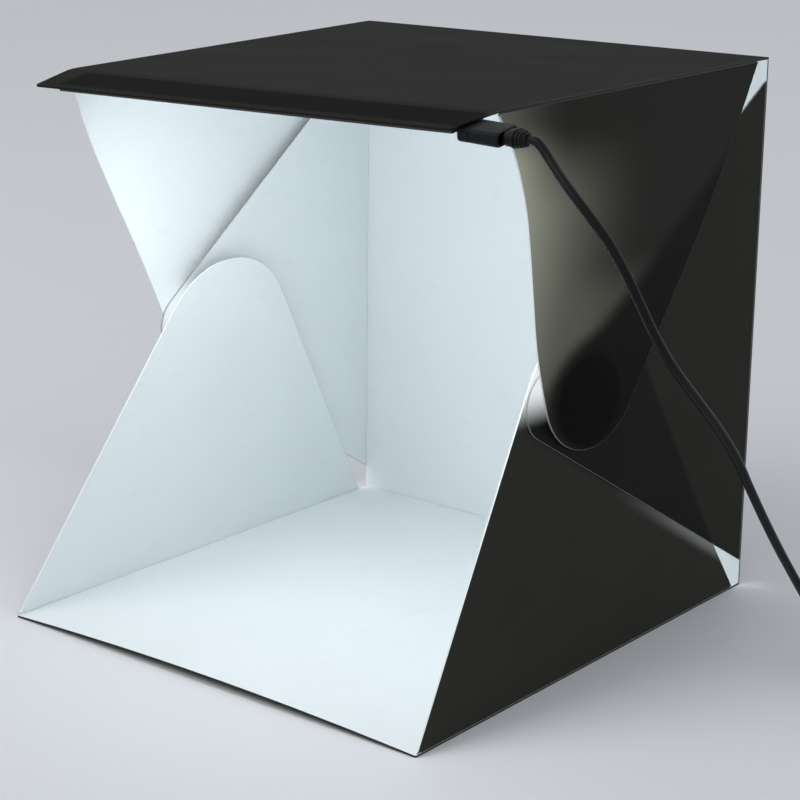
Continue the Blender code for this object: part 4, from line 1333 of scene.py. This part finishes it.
def grip_stations(shoulder, nose):
    """The far plug's grip, with five grooves for the fingers."""
    stations = [(shoulder - 0.6 * MM, 9 * MM, 5.4 * MM), (shoulder, 11 * MM, 6.6 * MM),
                (shoulder + 1.1 * MM, 14 * MM, 7.5 * MM),
                (shoulder + 2.4 * MM, GRIP_WIDTH, GRIP_THICK)]
    crest = (GRIP_WIDTH - 0.6 * MM, GRIP_THICK - 0.5 * MM)
    groove = (GRIP_WIDTH - 1.5 * MM, GRIP_THICK - 1 * MM)
    for index in range(5):
        start = shoulder + 7 * MM + index * 2.4 * MM
        stations += [(start, *crest), (start + 0.35 * MM, *groove),
                     (start + 1.1 * MM, *groove), (start + 1.45 * MM, *crest)]
    return stations + [(nose - 3 * MM, GRIP_WIDTH, GRIP_THICK),
                       (nose - 0.5 * MM, GRIP_WIDTH, GRIP_THICK),
                       (nose, GRIP_WIDTH - 1.2 * MM, GRIP_THICK - 1.2 * MM)]


def relief_stations(shoulder):
    """The ribbed strain relief between the lead and the far plug's grip."""
    stations = [(-0.2 * MM, 4.4 * MM, 4.4 * MM), (SEAT, 5 * MM, 5 * MM)]
    for index in range(4):
        start = SEAT + (index + 0.6) * 1.6 * MM
        crest = 5.1 * MM + index * 0.25 * MM
        groove = crest - 0.7 * MM
        stations += [(start, crest, crest), (start + 0.15 * MM, groove, groove),
                     (start + 0.55 * MM, groove, groove), (start + 0.7 * MM, crest, crest)]
    return stations + [(shoulder + 1 * MM, 6 * MM, 6 * MM)]


def make_far_plug():
    """The full-size plug on the lead's far end, lying on the floor."""
    place = Matrix.Translation(lead_points()[-1]) @ Matrix.Rotation(-QUARTER, 4, "Z")
    shoulder = SEAT + 8 * MM
    nose = shoulder + GRIP_LENGTH
    bm = moulding(relief_stations(shoulder), 2.15 * MM, steps=5, place=place)
    bm = moulding(grip_stations(shoulder, nose), 1.9 * MM, bm, steps=5, place=place)
    add_piece("far_plug_grip", bm, "lead", ("black moulding",), ("usb_a_body",))
    back = nose + SEAT
    tip = back + FAR_LENGTH
    bm = shell(back, tip, 0.15 * MM, FAR_WIDTH, FAR_THICK, 0.7 * MM)
    count = len(bm.faces)
    for row in (-1, 1):
        for side in (-1, 1):
            low = Vector((back + 5.2 * MM, row * 2.9 * MM - 1.1 * MM,
                          side * FAR_THICK / 2 - 0.02 * MM))
            block(bm, low, low + Vector((2.4 * MM, 2.2 * MM, 0.04 * MM)))
    repaint(bm, count, 1)
    add_piece("far_plug_steel", bm, "lead",
              ("connector steel", "black moulding"), ("usb_a_shell",), place)
    half = FAR_WIDTH / 2 - METAL - SEAT
    low = -FAR_THICK / 2 + METAL + SEAT
    contacts = []
    for row in (-1.5, -0.5, 0.5, 1.5):
        middle = row * 2.4 * MM
        contacts.append(((back + 5 * MM, middle - 0.5 * MM, low + 1.7 * MM),
                         (tip - 1.2 * MM, middle + 0.5 * MM, low + 1.84 * MM)))
    bm = contact_tongue((back + METAL + SEAT, -half, low), (tip - SEAT, half, low + 1.8 * MM),
                        0.12 * MM, contacts, 0.02 * MM)
    add_piece("far_plug_contacts", bm, "lead",
              ("black moulding", "gold contact"), ("usb_a_tongue",), place)


# Lead


def smooth_path(points):
    """Closely spaced places on the smooth curve through a route's points."""
    path = []
    last = len(points) - 1
    for index in range(last):
        around = [points[min(max(index + step, 0), last)] for step in (-1, 0, 1, 2)]
        path += [between(*around, step / ROUTE_STEPS) for step in range(ROUTE_STEPS)]
    return path + [points[-1]]


def lead_exit():
    return socket_frame() @ Vector((PLUG_LENGTH + SEAT, 0, 0))


def lead_points():
    """The lead's whole route: plug, hanging stretch, coil, and the tail to the far plug."""
    start = lead_exit()
    end = Vector((COIL_X - COIL_OUTER, COIL_Y - CORD, COIL_LOW))
    ahead = Vector((CORD / 3, 0, 0))
    back = Vector((0, CORD, 0))
    route = [Vector(point) for point in ROUTE]
    points = smooth_path([start, start + ahead] + route + [end - back, end])
    turns = 2 * COIL_TURNS
    climb_start = COIL_TURNS - CLIMB_TURNS / 2
    for index in range(round(LOOP_STEPS * turns) + 1):
        turn = index / LOOP_STEPS
        radius = COIL_OUTER - COIL_PITCH * min(turn, turns - turn)
        climb = min(max((turn - climb_start) / CLIMB_TURNS, 0), 1)
        angle = math.pi - math.tau * turn
        x = COIL_X + radius * math.cos(angle)
        y = COIL_Y + radius * math.sin(angle)
        points.append(Vector((x, y, COIL_LOW + COIL_RISE * climb)))
    top = points[-1]
    drop = top.z - GRIP_THICK / 2
    slope = TAIL_LENGTH - 2 * CORD
    for index in range(1, TAIL_STEPS + 1):
        fall = drop * (1 - math.cos(math.pi * index / TAIL_STEPS)) / 2
        points.append(top + Vector((0, -CORD - slope * index / TAIL_STEPS, -fall)))
    points.append(points[-1] + Vector((0, -CORD, 0)))
    return points


def make_lead(settings):
    """The lead as one cord, from the small plug to the far one."""
    points = lead_points()
    curve = bpy.data.curves.new("power_lead", "CURVE")
    curve.dimensions = "3D"
    curve.bevel_depth = settings.diameter / 2
    curve.bevel_resolution = 5
    curve.use_fill_caps = True
    spline = curve.splines.new("POLY")
    spline.points.add(len(points) - len(spline.points))
    for slot, point in zip(spline.points, points):
        slot.co = (*point, 1)
    spline.use_smooth = True
    curve.materials.append(bpy.data.materials["lead sheath"])
    obj = bpy.data.objects.new("power_lead", curve)
    bpy.context.scene.collection.objects.link(obj)
    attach(obj, "lead")
    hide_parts("usb_cord", "cord_coil")


def make_tie():
    """A woven strap round the wound turns."""
    inner = COIL_OUTER - COIL_PITCH * (COIL_TURNS - CLIMB_TURNS / 2)
    outer = COIL_OUTER - COIL_PITCH / 4
    width = outer - inner + CORD + 2 * (STRAP_SLACK + STRAP_THICK)
    tall = COIL_RISE + CORD + 2 * (SEAT + STRAP_THICK)
    place = Matrix.Translation((COIL_X, COIL_Y + (inner + outer) / 2, COIL_LOW + COIL_RISE / 2))
    bm = moulding(((-STRAP_HALF, width, tall), (STRAP_HALF, width, tall)), STRAP_CORNER, steps=6)
    caps = [face for face in bm.faces if len(face.verts) > 4]
    bmesh.ops.delete(bm, geom=caps, context="FACES_ONLY")
    obj = add_piece("coil_strap", bm, "lead", ("woven strap",), ("cord_tie",), place)
    thicken(obj, "strap", STRAP_THICK)
    trim_rims(obj, 0.2 * MM)


def declare_lead():
    """Work out the length of the lead's route; nothing is done with it."""
    points = lead_points()
    length = sum((after - before).length for before, after in zip(points, points[1:]))
    lead_exit()


# Stage


def make_stage(settings):
    """Camera at the photograph's angle, pale floor and soft lamps."""
    scene = bpy.context.scene
    camera = bpy.data.cameras.new("camera")
    camera.lens = LENS
    camera.sensor_width = SENSOR
    camera.clip_start = 0.01
    view = bpy.data.objects.new("camera", camera)
    view.location = CAMERA_PLACE
    view.rotation_euler = [math.radians(turn) for turn in CAMERA_TURNS]
    scene.collection.objects.link(view)
    scene.camera = view
    scene.view_settings.view_transform = "Standard"

    bm = bmesh.new()
    bmesh.ops.create_grid(bm, x_segments=1, y_segments=1, size=FLOOR_HALF)
    mesh = bpy.data.meshes.new("floor")
    bm.to_mesh(mesh)
    bm.free()
    floor = bpy.data.objects.new("floor", mesh)
    scene.collection.objects.link(floor)
    finish = Finish("pale floor", Specular_IOR_Level=0.3)
    cloud = finish.noise(finish.place(), 0.4, 2)
    grain = finish.noise(finish.place(), 0.8 * MM)
    tone = cloud * 0.04 + grain * 0.03 + 0.965
    finish.set(Base_Color=finish.scaled(tuple(settings.floor), tone), Roughness=grain * 0.1 + 0.5)
    mesh.materials.append(finish.material)

    world = bpy.data.worlds.new("sky")
    world.use_nodes = True
    scene.world = world
    sky = world.node_tree.nodes["Background"]
    sky.inputs["Color"].default_value = (0.93, 0.96, 1.0, 1)
    sky.inputs["Strength"].default_value = settings.sky

    for name, power, size, place, target, colour in (
        ("key lamp", settings.key, (1.4, 1.4), (-0.9, -1.3, 1.6), (0, 0, 0.1), (1.0, 0.98, 0.95)),
        ("tent lamp", settings.inner, (0.12, 0.014),
         (0.008, -0.088, 0.222), (0.006, 0.045, 0.045), (0.95, 0.98, 1.0)),
    ):
        light = bpy.data.lights.new(name, "AREA")
        light.shape = "RECTANGLE"
        light.size, light.size_y = size
        light.energy = power
        light.color = colour
        lamp = bpy.data.objects.new(name, light)
        lamp.location = place
        aim = Vector(target) - Vector(place)
        lamp.rotation_euler = aim.to_track_quat("-Z", "Y").to_euler()
        scene.collection.objects.link(lamp)


# Operators and panel


class LIGHTTENT_OT_stage(bpy.types.Operator):
    """Set the camera, the pale floor and the soft lamps"""

    bl_idname = "lighttent.stage"
    bl_label = "Stage"

    def execute(self, context):
        make_stage(context.scene.light_tent_stage)
        return {"FINISHED"}


class LIGHTTENT_OT_lead(bpy.types.Operator):
    """Lay the lead from the small plug to the far one"""

    bl_idname = "lighttent.lead"
    bl_label = "Power lead"

    def execute(self, context):
        make_lead_finishes(context.scene.light_tent_lead)
        make_lead(context.scene.light_tent_lead)
        return {"FINISHED"}


class LIGHTTENT_OT_tie(bpy.types.Operator):
    """Wrap the strap round the coiled lead"""

    bl_idname = "lighttent.tie"
    bl_label = "Coil strap"

    def execute(self, context):
        make_tie()
        return {"FINISHED"}


class LIGHTTENT_OT_plug(bpy.types.Operator):
    """Build the plug in the strip's socket"""

    bl_idname = "lighttent.plug"
    bl_label = "Small plug"

    def execute(self, context):
        make_plug()
        return {"FINISHED"}


class LIGHTTENT_OT_far_plug(bpy.types.Operator):
    """Build the full-size plug on the lead's far end"""

    bl_idname = "lighttent.far_plug"
    bl_label = "Far plug"

    def execute(self, context):
        make_far_plug()
        return {"FINISHED"}


class LIGHTTENT_OT_declare(bpy.types.Operator):
    """Work out the lead's length, which nothing uses"""

    bl_idname = "lighttent.declare"
    bl_label = "Declare lead"

    def execute(self, context):
        declare_lead()
        return {"FINISHED"}


class LIGHTTENT_OT_base(bpy.types.Operator):
    """Build the base with its bowed front edge"""

    bl_idname = "lighttent.base"
    bl_label = "Base panel"

    def execute(self, context):
        make_sheet_finishes(context.scene.light_tent_sheet)
        make_base(context.scene.light_tent_sheet)
        return {"FINISHED"}


class LIGHTTENT_OT_back(bpy.types.Operator):
    """Build the back panel"""

    bl_idname = "lighttent.back"
    bl_label = "Back panel"

    def execute(self, context):
        make_back(context.scene.light_tent_sheet)
        return {"FINISHED"}


class LIGHTTENT_OT_top(bpy.types.Operator):
    """Build the top panel with its drooping lip"""

    bl_idname = "lighttent.top"
    bl_label = "Top panel"

    def execute(self, context):
        make_top(context.scene.light_tent_sheet)
        return {"FINISHED"}


class LIGHTTENT_OT_lower_flaps(bpy.types.Operator):
    """Build the flaps hinged on the base"""

    bl_idname = "lighttent.lower_flaps"
    bl_label = "Lower flaps"

    def execute(self, context):
        make_lower_flaps(context.scene.light_tent_sheet)
        return {"FINISHED"}


class LIGHTTENT_OT_rear_flaps(bpy.types.Operator):
    """Build the flaps hinged on the back panel"""

    bl_idname = "lighttent.rear_flaps"
    bl_label = "Rear flaps"

    def execute(self, context):
        make_rear_flaps(context.scene.light_tent_sheet)
        return {"FINISHED"}


class LIGHTTENT_OT_upper_flaps(bpy.types.Operator):
    """Build the flaps hinged on the top panel"""

    bl_idname = "lighttent.upper_flaps"
    bl_label = "Upper flaps"

    def execute(self, context):
        make_upper_flaps(context.scene.light_tent_sheet)
        return {"FINISHED"}


class LIGHTTENT_OT_webs(bpy.types.Operator):
    """Build the scored web along each crease"""

    bl_idname = "lighttent.webs"
    bl_label = "Crease webs"

    def execute(self, context):
        make_webs(context.scene.light_tent_sheet)
        return {"FINISHED"}


class LIGHTTENT_OT_discs(bpy.types.Operator):
    """Build the magnets and steel discs that hold the flaps"""

    bl_idname = "lighttent.discs"
    bl_label = "Holding discs"

    def execute(self, context):
        make_disc_finishes()
        make_discs()
        return {"FINISHED"}


class LIGHTTENT_OT_board(bpy.types.Operator):
    """Build the tape, circuit board and resistors"""

    bl_idname = "lighttent.board"
    bl_label = "Light strip"

    def execute(self, context):
        make_strip_finishes(context.scene.light_tent_strip)
        make_board()
        return {"FINISHED"}


class LIGHTTENT_OT_chips(bpy.types.Operator):
    """Build the row of light chips"""

    bl_idname = "lighttent.chips"
    bl_label = "Light chips"

    def execute(self, context):
        make_chips()
        return {"FINISHED"}


class LIGHTTENT_OT_socket(bpy.types.Operator):
    """Build the socket at the strip's end"""

    bl_idname = "lighttent.socket"
    bl_label = "Power socket"

    def execute(self, context):
        make_socket()
        return {"FINISHED"}


STEPS = (
    LIGHTTENT_OT_stage,
    LIGHTTENT_OT_lead,
    LIGHTTENT_OT_tie,
    LIGHTTENT_OT_plug,
    LIGHTTENT_OT_far_plug,
    LIGHTTENT_OT_declare,
    LIGHTTENT_OT_base,
    LIGHTTENT_OT_back,
    LIGHTTENT_OT_top,
    LIGHTTENT_OT_lower_flaps,
    LIGHTTENT_OT_rear_flaps,
    LIGHTTENT_OT_upper_flaps,
    LIGHTTENT_OT_webs,
    LIGHTTENT_OT_discs,
    LIGHTTENT_OT_board,
    LIGHTTENT_OT_chips,
    LIGHTTENT_OT_socket,
)


class LIGHTTENT_PT_panel(bpy.types.Panel):
    """Lists the light tent's settings and the steps that build it"""

    bl_idname = "LIGHTTENT_PT_panel"
    bl_label = "Light Tent"
    bl_space_type = "VIEW_3D"
    bl_region_type = "UI"
    bl_category = "Light Tent"

    def draw(self, context):
        for title, group in GROUPS:
            box = self.layout.box()
            box.label(text=title)
            settings = getattr(context.scene, group)
            for name in settings.__annotations__:
                box.prop(settings, name)
        column = self.layout.column(align=True)
        for made in STEPS:
            column.operator(made.bl_idname)


GROUPS = (
    ("Sheet", "light_tent_sheet"),
    ("Light strip", "light_tent_strip"),
    ("Lead", "light_tent_lead"),
    ("Stage", "light_tent_stage"),
)
PROPERTY_CLASSES = (LIGHTTENT_PG_sheet, LIGHTTENT_PG_strip, LIGHTTENT_PG_lead, LIGHTTENT_PG_stage)


def register():
    for group in PROPERTY_CLASSES:
        bpy.utils.register_class(group)
    for (_, name), group in zip(GROUPS, PROPERTY_CLASSES):
        setattr(bpy.types.Scene, name, bpy.props.PointerProperty(type=group))
    for made in STEPS:
        bpy.utils.register_class(made)
    bpy.utils.register_class(LIGHTTENT_PT_panel)


def unregister():
    bpy.utils.unregister_class(LIGHTTENT_PT_panel)
    for made in reversed(STEPS):
        bpy.utils.unregister_class(made)
    for _, name in GROUPS:
        delattr(bpy.types.Scene, name)
    for group in reversed(PROPERTY_CLASSES):
        bpy.utils.unregister_class(group)


def main():
    for obj in list(bpy.data.objects):
        if obj.name in ("Cube", "Light", "Camera"):
            bpy.data.objects.remove(obj)
    register()
    for made in STEPS:
        group, name = made.bl_idname.split(".")
        getattr(getattr(bpy.ops, group), name)()


if __name__ == "__main__":
    main()
